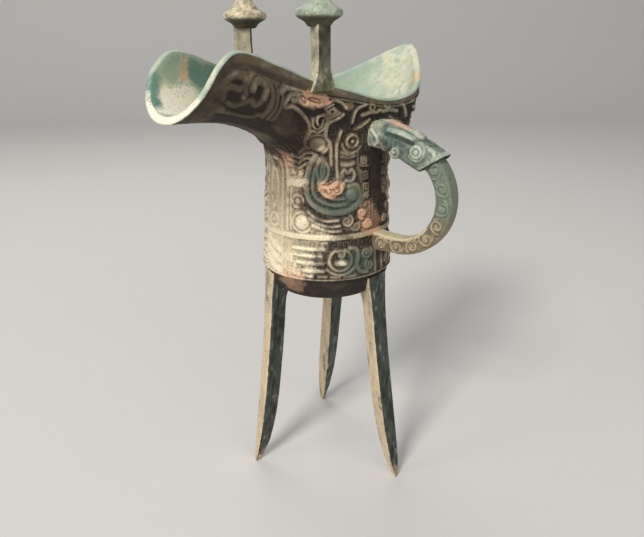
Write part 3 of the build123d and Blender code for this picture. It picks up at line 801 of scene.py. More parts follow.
tail_lines = [
    (spiral((36.0, 20.0), 6.6, 1.75, 200), 1.4, 0.6),
    (ring((36.0, 20.0), 8.2, -90, 150), 0.9, 0.5),
    (ring((36.0, 20.0), 9.7, -60, 120), 0.8, 0.5),
    (curve([(46.0, 22.0), (49.6, 17.4), (55.0, 13.0)]), 1.2, 0.5),
    (curve([(45.6, 17.6), (49.0, 13.4), (53.6, 9.0)]), 1.0, 0.45),
]
print("spout:", len(spout_lines), "lines; tail:", len(tail_lines), "lines")

# %% [markdown]
# ## Wear and ground
# Between the ridges the founder cut small squared scrolls, the thunder ground, and the ages left pits and
# swellings of every size. The scrolls are one formula in brickwork cells. The wear is noise on a lattice of
# random heights, which a seed keeps the same in every run.

# %% Noise and thunder ground
lattice = 24


def lumps(points, size, seed):
    """Value noise from -1 to 1: seeded random heights on a cubic lattice of the given spacing, blended
    smoothly between the eight nearest lattice points."""
    scaled_points = points / size
    corner = np.floor(scaled_points).astype(int)
    share = scaled_points - corner
    share = share * share * (3 - 2 * share)
    heights = np.random.default_rng(seed).uniform(-1, 1, (lattice, lattice, lattice))
    total = np.zeros(points.shape[:-1])
    for offset in np.ndindex(2, 2, 2):
        weight = np.prod(np.where(offset, share, 1 - share), axis=-1)
        i, j, k = np.moveaxis((corner + offset) % lattice, -1, 0)
        total += weight * heights[i, j, k]
    return total


def weathering(points, depth=0.15):
    """Uneven wear in millimetres: lumps of three sizes added up."""
    return depth * (lumps(points, 6.0, 1) + 0.8 * lumps(points, 2.4, 2) + 0.8 * lumps(points, 1.1, 3)) / 1.5


def thunder_ground(u, v, cell=4.4, pitch=1.45):
    """Small squared scrolls in a brickwork of cells: the ridge winds out with the larger of the two distances
    from a cell's middle, shifted by the angle."""
    row = np.floor(v / cell)
    along = u / cell + 0.5 * (row % 2)
    handed = np.where((np.floor(along) + row) % 2 > 0, 1, -1)
    across, up = (along % 1 - 0.5) * cell, (v / cell - row - 0.5) * cell
    turns = np.maximum(np.abs(across), np.abs(up)) / pitch + handed * np.arctan2(up, across) / (2 * np.pi)
    return 0.5 + 0.5 * np.cos(2 * np.pi * turns)


print("wear at the origin in mm:", weathering(np.zeros((1, 3))).round(3))

# %% [markdown]
# ## The motifs on the unrolled wall
# Each point of the outer skin has a place on the unrolled wall: its arc round the cup and its height, or how
# far it lies along the trough and its arc up from the keel. The motifs are drawn there, each one only where
# it belongs.

# %% Motifs
chart_radius = 27.5
cup_reach = 38.0
mouth_foot = 162.0
strip_width = 13.0
line_swell = 1.25
spout_foot = 0.8
far_off = 1e3


def draw(relief, u, v, lines, bosses, foot=ridge_foot, cuts=()):
    """Draw a list of lines and bosses into the relief, and then its cuts."""
    for path, width, lift in lines:
        stroke(relief, u, v, path, line_swell * width, lift, foot)
    for centre, radius, lift in bosses:
        boss(relief, u, v, centre, radius, lift)
    for path, width, depth in cuts:
        stroke(relief, u, v, path, width, ground - depth)


def chart(points):
    """Place of each point on the unrolled wall: its azimuth in degrees, its arc from the line under the spout
    or the tail, and its arc from the keel of the trough."""
    x, y, z = np.moveaxis(points, -1, 0)
    azimuth = np.degrees(np.arctan2(y, x)) % 360
    arc = chart_radius * np.radians(np.abs((azimuth + 90) % 180 - 90))
    half, keel = trough_size(x, 0.0)
    angle = np.where(z < keel + half, np.arctan2(np.abs(y), keel + half - z), np.pi / 2)
    return azimuth, arc, half * angle + np.maximum(z - keel - half, 0)


def motifs(points, azimuth, arc, rise):
    """Thunder ground with the lines of the face, band, strip, spout and tail drawn over it. A point that a
    motif isn't meant for is given a place far off."""
    x, y, z = np.moveaxis(points, -1, 0)
    near_axis = (np.hypot(x, y) < cup_reach) & (x > -34)
    front = (azimuth > 90) & (azimuth < 180) & (arc < strip_width + 0.8) & near_axis & (z < mouth_foot)
    scrolls = thunder_ground(arc, z) * near_axis * step(z, 106, 107) * (1 - step(z, 168, 174)) * ~front
    relief = ground + 0.4 * scrolls
    on_face = np.where(near_axis & ~front, arc, far_off)
    draw(relief, on_face, z, face_lines + band_lines, face_bosses + band_bosses, cuts=face_cuts)
    draw(relief, np.where(front, arc, far_off), z, strip_lines, strip_bosses)
    on_spout = np.where((x < -20) & (z > mouth_foot), x, far_off)
    draw(relief, on_spout, rise, spout_lines, spout_bosses, spout_foot, spout_cuts)
    draw(relief, np.where(x > 24, x, far_off), rise, tail_lines, [])
    return relief


print("azimuth, arc and rise at the rib:", np.round(chart(np.array([-28.0, -1.0, rib_height])), 1))

# %% [markdown]
# ## What lies over the motifs
# The plain lip, the seam under the spout, the strip under the handle and the two ribs lie over the motifs,
# and the wear lies over all. Each is a soft line or a step that moves the relief to a level of its own.

# %% Relief of the outer skin
handle_strip = 39.2
streak_pitch = 1.7
band_top = 0.7
cup_top = 1.8
lip_band_marks = [(-spout_reach, 6.0), (-66.0, 5.4), (-43.0, 5.6), (-24.0, 4.2), (-10.0, 3.0), (8.0, 2.8),
                  (40.0, 4.0), (tail_reach, 5.0)]


def line(distance, half_width, edge):
    """A line with a soft edge: 1 near distance 0 and nothing beyond the half-width."""
    return step(half_width - np.abs(distance), 0, edge)


def settle(relief, level, share):
    """Move the relief to a level by a share."""
    return relief + (level - relief) * share


def ornament(points):
    """Relief of the outer skin in millimetres: the motifs, then what is laid over them, then wear."""
    x, z = points[..., 0], points[..., 2]
    azimuth, arc, rise = chart(points)
    relief = motifs(points, azimuth, arc, rise)
    relief = settle(relief, ground - 0.4, line(arc, 0.75, 0.4) * (x < 0) * (z < waist))
    drop = flow(x, rim_marks) - z
    band = flow(x, lip_band_marks)
    lip_line = line(drop - band - 0.6, 0.5, 0.35) * (z > waist + 8) * (x > -0.86 * spout_reach)
    relief = np.maximum(relief, ground + 0.8 * lip_line)
    plain = np.maximum(step(band - drop, -0.3, 0.4) * (z > waist),
                       step(-x, 0.8 * spout_reach, 0.87 * spout_reach))
    plain = np.maximum(plain, step(6 - rise, 0, 2) * step(-x, 32, 40))
    relief = settle(relief, 0.05, plain)
    strip = step(arc, handle_strip, handle_strip + 0.8) * (z > rib_height) * (z < 172)
    streaks = 0.3 * (0.5 + 0.5 * np.cos(2 * np.pi * arc / streak_pitch))
    relief = settle(relief, ground + streaks, strip)
    rib = np.maximum(line(z - rib_height - 0.5, 1.5, 0.6), line(z - cup_edge - 0.9, 0.6, 0.5))
    relief = np.maximum(relief, ground + (0.65 - ground) * rib) + weathering(points)
    return np.minimum(relief, np.where(z < rib_height, band_top, cup_top))


print("relief at the rib in mm:", ornament(np.array([[-28.0, -1.0, rib_height + 0.5]])).round(2))

# %% [markdown]
# ## Where the patina lies
# Soil lay against one side of the vessel, so chalk crusts the side under the spout, pink earth fills some
# hollows, and the rest stayed dark. Soft round patches, each a bell curve round a point, place these
# finishes, and a few of them place painted shade under the spout and the handle and a painted highlight on an
# eye.

# %% Patches on the outer skin
lip_band_width = 4.0


def patches(points, spots):
    """Sum of bell curves: each spot is (x, y, z, reach, strength)."""
    total = np.zeros(points.shape[:-1])
    for *centre, reach, strength in spots:
        away = np.sum((points - np.array(centre)) ** 2, axis=-1)
        total += strength * np.exp(-away / reach ** 2)
    return np.clip(total, 0, 1)


def on_cup(arc_place, z, reach, strength):
    """A spot on the cup, given by its arc from the line under the spout towards the handle."""
    azimuth = math.pi + arc_place / chart_radius
    return (chart_radius * math.cos(azimuth), chart_radius * math.sin(azimuth), z, reach, strength)


# The spot at 17, 161.6 is a painted highlight on the lower right of the eye's boss; the others are chalk
# crust.
chalk_and_highlight_spots = [on_cup(-9, 112, 13, 0.95), on_cup(-9, 130, 13, 0.95), on_cup(-8, 147, 12, 0.8),
               on_cup(5, 126, 9, 0.6), on_cup(12, 125, 6, 0.8), on_cup(20, 125, 4, 0.4),
               on_cup(11, 112, 8, 0.55), on_cup(6, 148, 5, 0.7), on_cup(17.0, 161.6, 2.2, 1.0),
               on_cup(25, 113.2, 3, 0.6), on_cup(7, 131, 3, 0.6), (27, 8, 112, 14, 0.6),
               (20, 22, 140, 12, 0.5), (-8, 27, 118, 14, 0.6)]
earth_spots = [on_cup(16.5, 145.3, 2.4, 0.8), on_cup(20, 145, 3.2, 1.0), on_cup(23.8, 145.6, 3.0, 1.0),
               on_cup(20.5, 142.6, 2.2, 0.7), on_cup(35, 135, 3.0, 0.8), on_cup(38, 136.5, 3.0, 0.8),
               on_cup(38.6, 131.5, 5.0, 1.0), on_cup(34.5, 129, 3.0, 0.8), on_cup(42, 127, 5.0, 0.9),
               on_cup(2.4, 120.5, 3.0, 0.7), on_cup(1.8, 115, 3.4, 0.9), on_cup(2, 107.5, 4.0, 1.0),
               on_cup(7, 107.5, 3.2, 0.9), on_cup(0.5, 102.5, 5.0, 0.9), on_cup(6, 101, 4.5, 0.8),
               on_cup(3, 150, 3.6, 0.7), on_cup(8.5, 150.5, 3.0, 0.6), on_cup(1, 154, 4.0, 0.7),
               (-29.4, -2, 160, 5, 0.6), (-36.5, -18.8, 182, 2.4, 0.9), (-33.5, -19.1, 181.6, 2.6, 1.0),
               (-30.5, -19.6, 180.8, 2.6, 1.0), (-27.6, -20.2, 180.4, 2.4, 0.9),
               (-25.2, -20.9, 179.8, 2.0, 0.8), (-16.6, -24.2, 177.4, 1.8, 0.9),
               (-14.8, -24.8, 177.8, 1.6, 0.8), (12, 27, 150, 8, 0.7), (25, -16, 118, 8, 0.7),
               (40, 18, 180, 7, 0.6), (-22, 19, 134, 6, 0.6), (-33, 19, 181, 4, 0.8)]
verdigris_spots = [on_cup(11.5, 150, 4, 0.6), on_cup(12, 143, 4, 0.6), on_cup(16, 138.5, 4, 0.6),
                   on_cup(22, 136.5, 4, 0.8), on_cup(28, 137.5, 4, 0.9), on_cup(30.5, 142, 4.5, 1.0),
                   on_cup(17.2, 152, 4, 0.9), on_cup(28, 113, 8, 0.6), on_cup(38, 112, 9, 0.6),
                   on_cup(28, 151, 5, 0.5), (15, 25, 116, 12, 0.7), (30, 0, 140, 12, 0.6),
                   (-14, -26, 181, 6, 0.6), (8, -29, 174, 12, 0.5)]
# Painted shade: these spots darken the spout's underside, the neck below it and the joint beside it, the cup
# under the handle, and the upper left of the eye's boss.
painted_shade_spots = [(-40, -15, 172.5, 7, 0.6), (-40, 15, 172.5, 7, 0.6), (-31, -10, 163, 6, 0.7),
              (-31, 10, 163, 6, 0.7), on_cup(43, 150, 9, 0.5), on_cup(13.8, 164.8, 2.4, 0.7),
              (-23, -20, 174, 8, 0.25), (-23, 20, 174, 8, 0.25)]
filled_spots = [on_cup(-8, 112, 12, 1.0), on_cup(-8, 130, 12, 1.0), on_cup(-8, 146, 11, 0.9),
                on_cup(3, 112, 6, 0.6)]


def wall_masks(points, relief):
    """The four masks of the outer skin. On the spout the ridges wore less and stay dark, partly as painted
    shade, and painted shade spots darken the places where shade falls; soil fills the hollows on the crusted
    side."""
    x, z = points[..., 0], points[..., 2]
    # Painted shade: ridges stay darker on the spout, partly its own darker bronze and partly painted shade,
    # and in the painted shade spots.
    worn_and_unshaded = (1 - 0.3 * step(-x, 38, 48)) * (1 - patches(points, painted_shade_spots))
    drop = flow(x, rim_marks) - z
    lip_band = step(lip_band_width - drop, -1.0, 2.0) * (z > waist + 8)
    grey = lip_band * (0.3 + 0.25 * lumps(points, 2.0, 9))
    raised = np.clip((relief - ground) / 1.1, 0, 1) * worn_and_unshaded
    raised = np.maximum(raised, 0.6 * patches(points, filled_spots) + 0.12 * lumps(points, 1.6, 12))
    return {"relief": np.maximum(raised, 0.62 * lip_band * step(x, -80, -60)),
            "chalk": patches(points, chalk_and_highlight_spots), "earth": patches(points, earth_spots),
            "verdigris": np.maximum(patches(points, verdigris_spots), grey)}


print("patches outside:", len(chalk_and_highlight_spots) + len(earth_spots) + len(verdigris_spots))

# %% [markdown]
# ## The lining
# Inside, the bronze turned pale green, with cream and olive clouds and a few crusts; the cream clouds low in
# the spout are partly painted light. The lip is chalk white round the spout. The lining has the same four
# masks as the outside, from patches of its own.

# %% Patches of the lining
white_edge = 6
lining_chalk = [(-72.7, 10.8, 183, 3.5, 0.8), (-71.6, 7.4, 179.9, 5, 1.0), (-61.1, 12.1, 183.8, 4, 0.8),
                (-79.5, 5, 179.2, 3, 0.7), (-66, 4, 178, 6, 0.9), (-62, -1, 177.4, 7, 0.8),
                (-72, -5, 179.4, 7, 0.8), (-69.4, 10.1, 182, 5, 0.7), (-64.5, 12, 184.4, 4, 0.5),
                (41, -15, 180.4, 6, 0.35), (45, -7, 178.8, 7, 0.3)]
lining_earth = [(-61, 15, 195.1, 2.0, 0.9), (-62.3, 14.9, 191.6, 2.0, 1.0), (-62.5, 14.5, 188.7, 2.2, 0.9),
                (-52, 15.8, 193.5, 3, 0.6), (-65, 8, 180.5, 3, 0.4), (34.6, -22, 183.4, 5, 0.8),
                (39.7, -20.1, 186, 4, 0.7), (30, 20, 172, 6, 0.4)]
lining_green = [(-78.3, 11.9, 184.9, 3.4, 0.8), (-77.4, 13.7, 187.9, 3, 0.9), (-79.8, 9.7, 182, 3.4, 0.9),
                (-74, 14.3, 190.4, 2.6, 0.6), (-58.1, 15.1, 193.4, 2.4, 0.9), (-57.4, 15, 190.1, 3, 1.0),
                (-55.2, 14.9, 188.3, 3.4, 1.0), (-51.5, 15.4, 189.8, 4, 1.0), (-47, 15, 187, 5, 0.8),
                (10, 24, 166, 12, 0.6)]
lining_olive = [(-67.6, 14.6, 191.2, 4.5, 0.35), (-67.9, 13.7, 187.4, 4.5, 0.35), (-40, 0, 168, 14, 0.5),
                (0, 0, 125, 30, 0.5)]
# The three spots round x -70 are painted light on the spout's shaded floor, which is also partly cream; the
# spots on the tail are its real cream.
lining_cream_and_light = [(59.6, 2, 193.9, 14, 0.35), (46.9, -8.4, 182.3, 15, 0.3), (50.5, -9.6, 188.2, 13, 0.25),
                (-70, 0, 178, 14, 0.6), (-70, 11, 184, 8, 0.5), (-66, 13, 186, 7, 0.3)]


def lining_masks(points):
    """The four masks of the lip and the inner skin: the lip is white round the spout and fades towards the
    tail."""
    x, z = points[..., 0], points[..., 2]
    lip = (np.arange(len(points))[:, None] < white_edge) * (1 - 0.8 * step(x, -60, -36))
    lip = lip * (0.85 - 0.6 * step(z, 179, 188))
    mottle = 0.2 * lumps(points, 4.0, 4) + 0.1 * lumps(points, 1.7, 10)
    clouds_and_light = mottle * (1 - 0.6 * step(x, 10, 30))
    # The cream spots raise the mask, which in the spout is partly painted light.
    clouds_and_light = clouds_and_light + patches(points, lining_cream_and_light) - patches(points, lining_olive)
    return {"relief": np.clip(0.5 + clouds_and_light + 0.5 * lip, 0, 1),
            "chalk": np.maximum(patches(points, lining_chalk), lip),
            "earth": patches(points, lining_earth), "verdigris": patches(points, lining_green)}


print("patches inside:", len(lining_chalk) + len(lining_earth) + len(lining_green))

# %% [markdown]
# ## Building the wall
# A single grid of this fineness would be too heavy for one mesh, so the wall is made in two halves that meet
# on the line under the spout and the tail. Both come from the same formula, so they meet point for point.

# %% Wall halves
outer_rows = (96, 26, 96)
inner_rows = (10, 10, 20)
outer_bend = 9.0
inner_bend = 7.0
lip_rows = 6
blunt_columns = 4


def line_inside(mesh, columns, rows, first_row, last_faces=0):
    """Give the lining's material to the quads from a row onwards, and to the last few faces."""
    inside = np.zeros(len(mesh.polygons), np.int32)
    inside[:rows * columns] = np.repeat(np.arange(rows) >= first_row, columns)
    inside[len(inside) - last_faces:] = 1
    mesh.materials.append(lining_bronze)
    mesh.polygons.foreach_set("material_index", inside)


def wall_half(name, side):
    """Outer skin with relief, half round lip and inner skin as one closed grid."""
    outer = half_skin(0.0, tail_reach, *outer_rows, outer_bend)
    inner = half_skin(wall, hollow_end(wall), *inner_rows, inner_bend)
    outer[..., 1] *= side
    inner[..., 1] *= side
    normal = outward(outer)
    normal[:, [0, -1], 1] = 0
    normal /= np.linalg.norm(normal, axis=2, keepdims=True)
    relief = ornament(outer)
    skin = outer + normal * relief[..., None]
    skin[..., 1] = np.clip(skin[..., 1], -vessel_high[1], vessel_high[1])
    skin[-1, -blunt_columns:, 2] = skin[-1, -blunt_columns:, 2].max()
    rise = np.cross(np.gradient(outer[-1], axis=0), normal[-1])
    rise /= np.linalg.norm(rise, axis=1, keepdims=True)
    rise *= np.sign(np.sum(rise * (outer[-1] - outer[-2])))
    rise[0, 1] = 0
    rise[-blunt_columns:] = (0, 0, 1)
    angle = np.linspace(0, np.pi, lip_rows + 2)[1:-1, None, None]
    middle, arm = (skin[-1] + inner[-1]) / 2, (skin[-1] - inner[-1]) / 2
    lip = middle + arm * np.cos(angle) + rise * lip_height * np.sin(angle)
    points = np.concatenate([skin, lip, inner[::-1]])
    mesh = grid_mesh(name, points, join_columns=False, join_rows=True, end_caps=True)
    masks = wall_masks(outer, relief)
    lining = lining_masks(points[len(outer):])
    for mask in masks:
        masks[mask] = np.concatenate([masks[mask], lining[mask]])
    sharpen(mesh, flank_columns + 1, [0, len(points) - 1], [0, flank_columns])
    place(name, mesh, "vessel_body", "cup_bronze", body_bronze, **masks)
    line_inside(mesh, flank_columns, len(points), len(outer) - 1)


wall_half("wall_handle_side", -1)
wall_half("wall_far_side", 1)

# %% [markdown]
# ## The band below the rib
# The band goes right round the axis, so its grid is a ring. It carries bars and eyes, and its inside is the
# plain lining.

# %% Band
ring_columns = 640
band_rows = 64
inside_step = 9
inside_relief = 0.25
ring_azimuth = np.linspace(0, 2 * np.pi, ring_columns, endpoint=False)


def turned(radius, z):
    """Surface of revolution: each (radius, height) of a profile carried round the axis."""
    radius, z = radius[:, None], z[:, None] * np.ones(ring_columns)
    return np.stack([radius * np.cos(ring_azimuth), radius * np.sin(ring_azimuth), z], axis=-1)


band_z = np.linspace(cup_edge, rib_height, band_rows)
band_skin = turned(cup_radius(band_z), band_z)
band_relief = ornament(band_skin)
tilt = (edge_radius - waist_radius) / (waist - cup_edge)
band_normal = np.stack([np.cos(ring_azimuth), np.sin(ring_azimuth), np.full(ring_columns, tilt)], axis=-1)
band_normal /= math.hypot(1, tilt)
band_inside = turned(cup_radius(band_z[::-inside_step]) - wall, band_z[::-inside_step])
band_points = np.concatenate([band_skin + band_normal * band_relief[..., None], band_inside])
band_mesh = grid_mesh("lower_band", band_points, join_rows=True)
sharpen(band_mesh, ring_columns, [0, band_rows - 1, band_rows, len(band_points) - 1])
band_masks = wall_masks(band_skin, band_relief)
band_masks["relief"] = np.concatenate([band_masks["relief"], np.full(band_inside.shape[:2], inside_relief)])
place("lower_band", band_mesh, "vessel_body", "cup_bronze", body_bronze, **band_masks)
line_inside(band_mesh, ring_columns, len(band_points), band_rows - 1)

# %% [markdown]
# ## The bottom of the cup
# The bottom is plain and set back a little, so that the band's lower line casts a shadow on it. Its profile
# runs out from the axis under the cup and back to the axis along the floor inside.

# %% Bottom
bottom_height = 91.0
floor_height = 95.0
bottom_profile = curve([(0.4, 0.0), (12.0, 1.0), (21.0, 3.2), (24.2, 4.8), (26.6, 7.3), (28.0, 10.4),
                        (28.7, 14.4)], 6)
bottom_radius, bottom_rise = bottom_profile.T
outer_count = len(bottom_rise)
inside_rise = bottom_rise[::-1] * (cup_edge + 0.4 - floor_height) / bottom_rise[-1]
inside_radius = bottom_radius[::-1] * (edge_radius - wall) / bottom_radius[-1]
bottom_points = np.concatenate([turned(bottom_radius, bottom_height + bottom_rise),
                                turned(inside_radius, floor_height + inside_rise)])
bottom_mesh = grid_mesh("cup_bottom", bottom_points, poles=((0, 0, bottom_height), (0, 0, floor_height)))
bottom_outer = bottom_points[:outer_count]
bottom_relief = np.where(np.arange(len(bottom_points))[:, None] < outer_count, 0.06, 0.2)
bottom_relief = bottom_relief + 0.12 * lumps(bottom_points, 3.0, 11)
sharpen(bottom_mesh, ring_columns, [outer_count - 1, outer_count])
place("cup_bottom", bottom_mesh, "vessel_body", "cup_bronze", body_bronze, relief=bottom_relief,
      chalk=0.3 * patches(bottom_outer, chalk_and_highlight_spots), earth=0.8 * patches(bottom_outer, earth_spots),
      verdigris=0.3 * patches(bottom_outer, verdigris_spots))
line_inside(bottom_mesh, ring_columns, len(bottom_points) - 1, outer_count - 1, ring_columns)

# %% [markdown]
# ## A section for legs and posts
# Legs and posts are three-sided blades with worn corners. One function makes that section at any width and
# depth: three arcs and the straight sides between them.

# %% Rounded triangle
section_points = 120


def rounded_triangle(width, depth, roundness):
    """Section with its flat side at 0 and its ridge at minus depth: an arc at each corner, straight sides
    between the arcs, and points at even distances all round."""
    corners = np.array([(0.0, -0.5), (0.0, 0.5), (-1.0, 0.0)])
    facing = np.radians([-60.0, 60.0, 180.0])
    pieces = []
    for corner, middle in zip(corners, facing):
        angle = middle + np.radians(np.linspace(-60, 60, 40))
        centre = corner * (1 - 2 * roundness) + np.array([-0.36, 0.0]) * 2 * roundness
        pieces.append(centre + roundness * 0.8 * np.stack([np.cos(angle), np.sin(angle)], axis=1))
    outline = np.concatenate(pieces + [pieces[0][:1]])
    outline = np.stack(spaced(outline.T, outline, section_points + 1), axis=-1)[:-1]
    return outline[None] * np.stack([depth, width], axis=-1)[:, None, :]


print("section:", rounded_triangle(np.ones(1), np.ones(1), 0.1).shape[1], "points")

# %% [markdown]
# ## Shape of the legs
# Each leg has a flat outer face and a ridge towards the axis. The section is carried up a path that starts
# thin at the splayed foot. At the top it spreads into a web and stands out to meet the band.

# %% Leg shape
leg_tops = {"handle_side": -89.0, "spout_side": 150.0, "tail_side": 29.0}
leg_feet = {"handle_side": -89.0, "spout_side": 150.0, "tail_side": 43.0}
foot_reach = {"handle_side": 43.2, "spout_side": 39.9, "tail_side": 42.4}
leg_top_reach = 26.9
reach_marks = [(0, 0.0), (12, 0.13), (30, 0.33), (68, 0.67)]
leg_width_marks = [(0, 3.0), (4, 4.4), (12, 6.9), (30, 9.7), (68, 10.6), (105, 11.6)]
leg_depth_marks = [(0, 2.8), (4, 4.6), (12, 7.2), (30, 8.9), (68, 9.2), (105, 9.2)]
leg_roundness = 0.09
leg_rows = 220
leg_heel = 1.5
web_start = 84.0
web_end = 100.0
web_width = 2.0
web_depth = 6.0
web_power = 2.6
leg_stretch = np.array([1, 1, 0.35])


def leg_skin(side):
    """Sections at each height, turned to the leg's azimuth there and set out to its reach, then made uneven.
    Also the points pressed flat, in which noise comes out drawn along the leg."""
    foot = foot_reach[side]
    z = np.concatenate([[0.0], np.linspace(0.5, cup_edge - 1.0, leg_rows - 1)])
    path = [(height, foot - share * (foot - leg_top_reach)) for height, share in reach_marks]
    reach = flow(z, path + [(cup_edge, leg_top_reach + leg_heel)])
    azimuth = np.radians(leg_feet[side] + (leg_tops[side] - leg_feet[side]) * z / cup_edge)
    web = np.clip((z - web_start) / (web_end - web_start), 0, 1) ** web_power
    outline = rounded_triangle(flow(z, leg_width_marks) + web_width * web,
                               flow(z, leg_depth_marks) + web_depth * web, leg_roundness)
    radial = reach[:, None] + outline[..., 0]
    sideways = outline[..., 1]
    cos, sin = np.cos(azimuth)[:, None], np.sin(azimuth)[:, None]
    points = np.stack([radial * cos - sideways * sin, radial * sin + sideways * cos,
                       np.broadcast_to(z[:, None], radial.shape)], axis=-1)
    pressed_flat = points * leg_stretch
    hump = 0.14 * lumps(pressed_flat, 6.0, 5) + 0.05 * lumps(points, 1.6, 6)
    points[1:, :, 0] += hump[1:] * cos[1:]
    points[1:, :, 1] += hump[1:] * sin[1:]
    return points, pressed_flat


print("leg's width at the foot and at the band in mm:", leg_width_marks[0][1], leg_width_marks[-1][1])

# %% [markdown]
# ## Finish of the legs
# The tops are cut to the curve of the cup's bottom and sink into it a little, as a cast joint does. The side
# where the soil lay, which is also the side the lamps light, is crusted with chalk that is partly painted
# light; the other side is painted dark and green, partly as painted shade, with flecks, and the foot is pale.

# %% Leg blades
leg_sink = 1.5
foot_crust = 14.0
chalk_and_light_azimuth = 152.0


def soil_and_light_side(normal):
    """How far a face looks to the side where the soil lay and the light comes from: 1 straight at it, -1
    straight away.
    """
    return np.cos(np.arctan2(normal[..., 1], normal[..., 0]) - math.radians(chalk_and_light_azimuth))


def closed_mesh(name, points):
    """Rings joined into a tube, with both ends closed by a fan to the middle of the last ring."""
    return grid_mesh(name, points, poles=(points[0].mean(0), points[-1].mean(0)))


def leg(side):
    """One blade: its skin seated under the cup, with its masks."""
    points, pressed_flat = leg_skin(side)
    lit = soil_and_light_side(outward(points))
    away = np.hypot(points[..., 0], points[..., 1])
    seat = np.interp(away, bottom_radius, bottom_height + bottom_rise) + leg_sink
    points[..., 2] = np.minimum(points[..., 2], seat)
    # Painted light and shade: faces towards the lamps get the pale crust and a paler relief mask, partly real
    # crust and partly painted light, and faces turned away get green that is partly painted shade.
    chalk = step(lit, 0.1, 0.55) * (0.85 + 0.4 * lumps(pressed_flat, 3.5, 13))
    tip = step(foot_crust - points[..., 2], 0, 12)
    flecks = step(lumps(pressed_flat, 1.0, 8), 0.2, 0.7)
    relief = 0.34 + 0.3 * lumps(pressed_flat, 2.6, 7) + 0.2 * lumps(pressed_flat, 1.2, 9) + 0.4 * flecks
    name = f"leg_{side}_blade"
    mesh = closed_mesh(name, points)
    sharpen(mesh, section_points, [0])
    place(name, mesh, f"leg_{side}", "leg_bronze", leg_bronze, relief=settle(relief, 0.72, 0.75 * chalk),
          chalk=np.maximum(chalk, 0.6 * tip), earth=0.45 * chalk,
          verdigris=0.35 * step(-lit, -0.2, 0.5) * (1 + lumps(pressed_flat, 5.0, 10)))


for leg_side in leg_tops:
    leg(leg_side)

# %% [markdown]
# ## Posts
# Two posts stand astride the rim. Each is the legs' section turned over, and its foot spreads along the rim
# as the casting's joint does.

# %% Posts
post_rows = 70
post_roundness = 0.1
post_width = 7.4
post_depth = 6.8
post_face = 2.94
foot_spread = 8.4
foot_swell = 0.6


def post(side, sign):
    """Sections from the saddle up to the cap: the width spreads like a parabola towards the rim."""
    low, high = np.array(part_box(f"post_{side}")) / MM
    cap_box = np.array(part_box(f"post_cap_{side}")) / MM
    middle_x = (low[0] + high[0]) / 2
    middle_y = cap_box[:, 1].mean()
    z = np.linspace(low[2] + 0.4, cap_box[0, 2] + 0.6, post_rows)
    share = (z - z[0]) / (z[-1] - z[0])
    width = post_width + foot_spread * np.clip(1 - share / 0.45, 0, 1) ** 2
    depth = post_depth + foot_swell * np.clip(1 - share / 0.3, 0, 1) ** 2
    outline = rounded_triangle(width, depth, post_roundness)
    across = middle_y + sign * (post_face + outline[..., 0])
    points = np.stack([middle_x + outline[..., 1], across, np.broadcast_to(z[:, None], across.shape)],
                      axis=-1)
    points[..., 0] += 0.12 * lumps(points, 3.0, 5) + 0.06 * lumps(points, 1.2, 6)
    normal = np.cross(np.gradient(points, axis=0), np.gradient(points, axis=1))
    normal /= np.linalg.norm(normal, axis=2, keepdims=True)
    normal *= np.sign(np.sum(normal * (points - points.mean(1, keepdims=True))))
    # Painted light and shade: the pale crust lies on the faces towards the lamps, partly as painted light,
    # and fades on the side towards +x, which is painted shade.
    chalk = step(soil_and_light_side(normal), 0.0, 0.5) * (1 - 0.75 * step(points[..., 0] - middle_x, 0.2, 2.2))
    crusted = step(0.55 - share, 0, 0.2)[:, None]
    relief = 0.2 + 0.2 * lumps(points, 2.5, 7) + (0.35 + 0.3 * lumps(points, 1.2, 8)) * crusted
    name = f"post_{side}_shaft"
    mesh = closed_mesh(name, points)
    place(name, mesh, f"post_{side}", "post_bronze", post_bronze, relief=relief, chalk=chalk,
          earth=0.4 * chalk, verdigris=0.2 * crusted * np.ones(chalk.shape))


print("section of a post in mm:", post_width, "by", post_depth)

# %% [markdown]
# ## Caps
# Each post wears a mushroom cap with a knob. A cap is turned on its own axis, and a slow wave in its radius
# takes away the look of a lathe. One cap kept its cream crust and the other went green. Each post is set up
# together with its cap.

# %% Caps, and both posts set up
post_signs = {"handle_side": -1, "far_side": 1}
cap_cream = {"handle_side": 0.1, "far_side": 0.9}
cap_columns = 120


def cap(side):
    """Profile of (share of the radius, share of the height) turned round the post's axis, a little uneven."""
    low, high = np.array(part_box(f"post_cap_{side}")) / MM
    middle, radius, height = (low + high) / 2, (high[0] - low[0]) / 2, high[2] - low[2]
    profile = curve([(0.02, 0.0), (0.44, 0.0), (0.62, 0.1), (0.93, 0.2), (1.0, 0.27), (0.96, 0.345),
                     (0.72, 0.42), (0.47, 0.55), (0.31, 0.67), (0.24, 0.74), (0.28, 0.82), (0.27, 0.92),
                     (0.16, 0.985), (0.02, 1.0)], 9)
    angle = np.linspace(0, 2 * np.pi, cap_columns, endpoint=False)
    uneven = 1 - 0.018 * (1 + np.sin(3 * angle + middle[1]) * np.sin(5 * angle + 1.0))
    r = radius * profile[:, :1] * uneven
    z = low[2] + height * profile[:, 1:] * np.ones(cap_columns)
    points = np.stack([middle[0] + r * np.cos(angle), middle[1] + r * np.sin(angle), z], axis=-1)
    top = 1 - step(0.24 - profile[:, 1:], 0, 0.1) * np.ones(cap_columns)
    name = f"post_cap_{side}_turned"
    ends = ((middle[0], middle[1], low[2]), (middle[0], middle[1], high[2]))
    creamy = cap_cream[side]
    place(name, grid_mesh(name, points, poles=ends), f"post_cap_{side}", "post_bronze", post_bronze,
          relief=0.15 + 0.6 * top, chalk=(0.3 + 0.25 * creamy) * top, earth=0.6 * creamy * top,
          verdigris=(0.8 - 0.6 * creamy) * top)


for post_side, post_sign in post_signs.items():
    post(post_side, post_sign)
    cap(post_side)

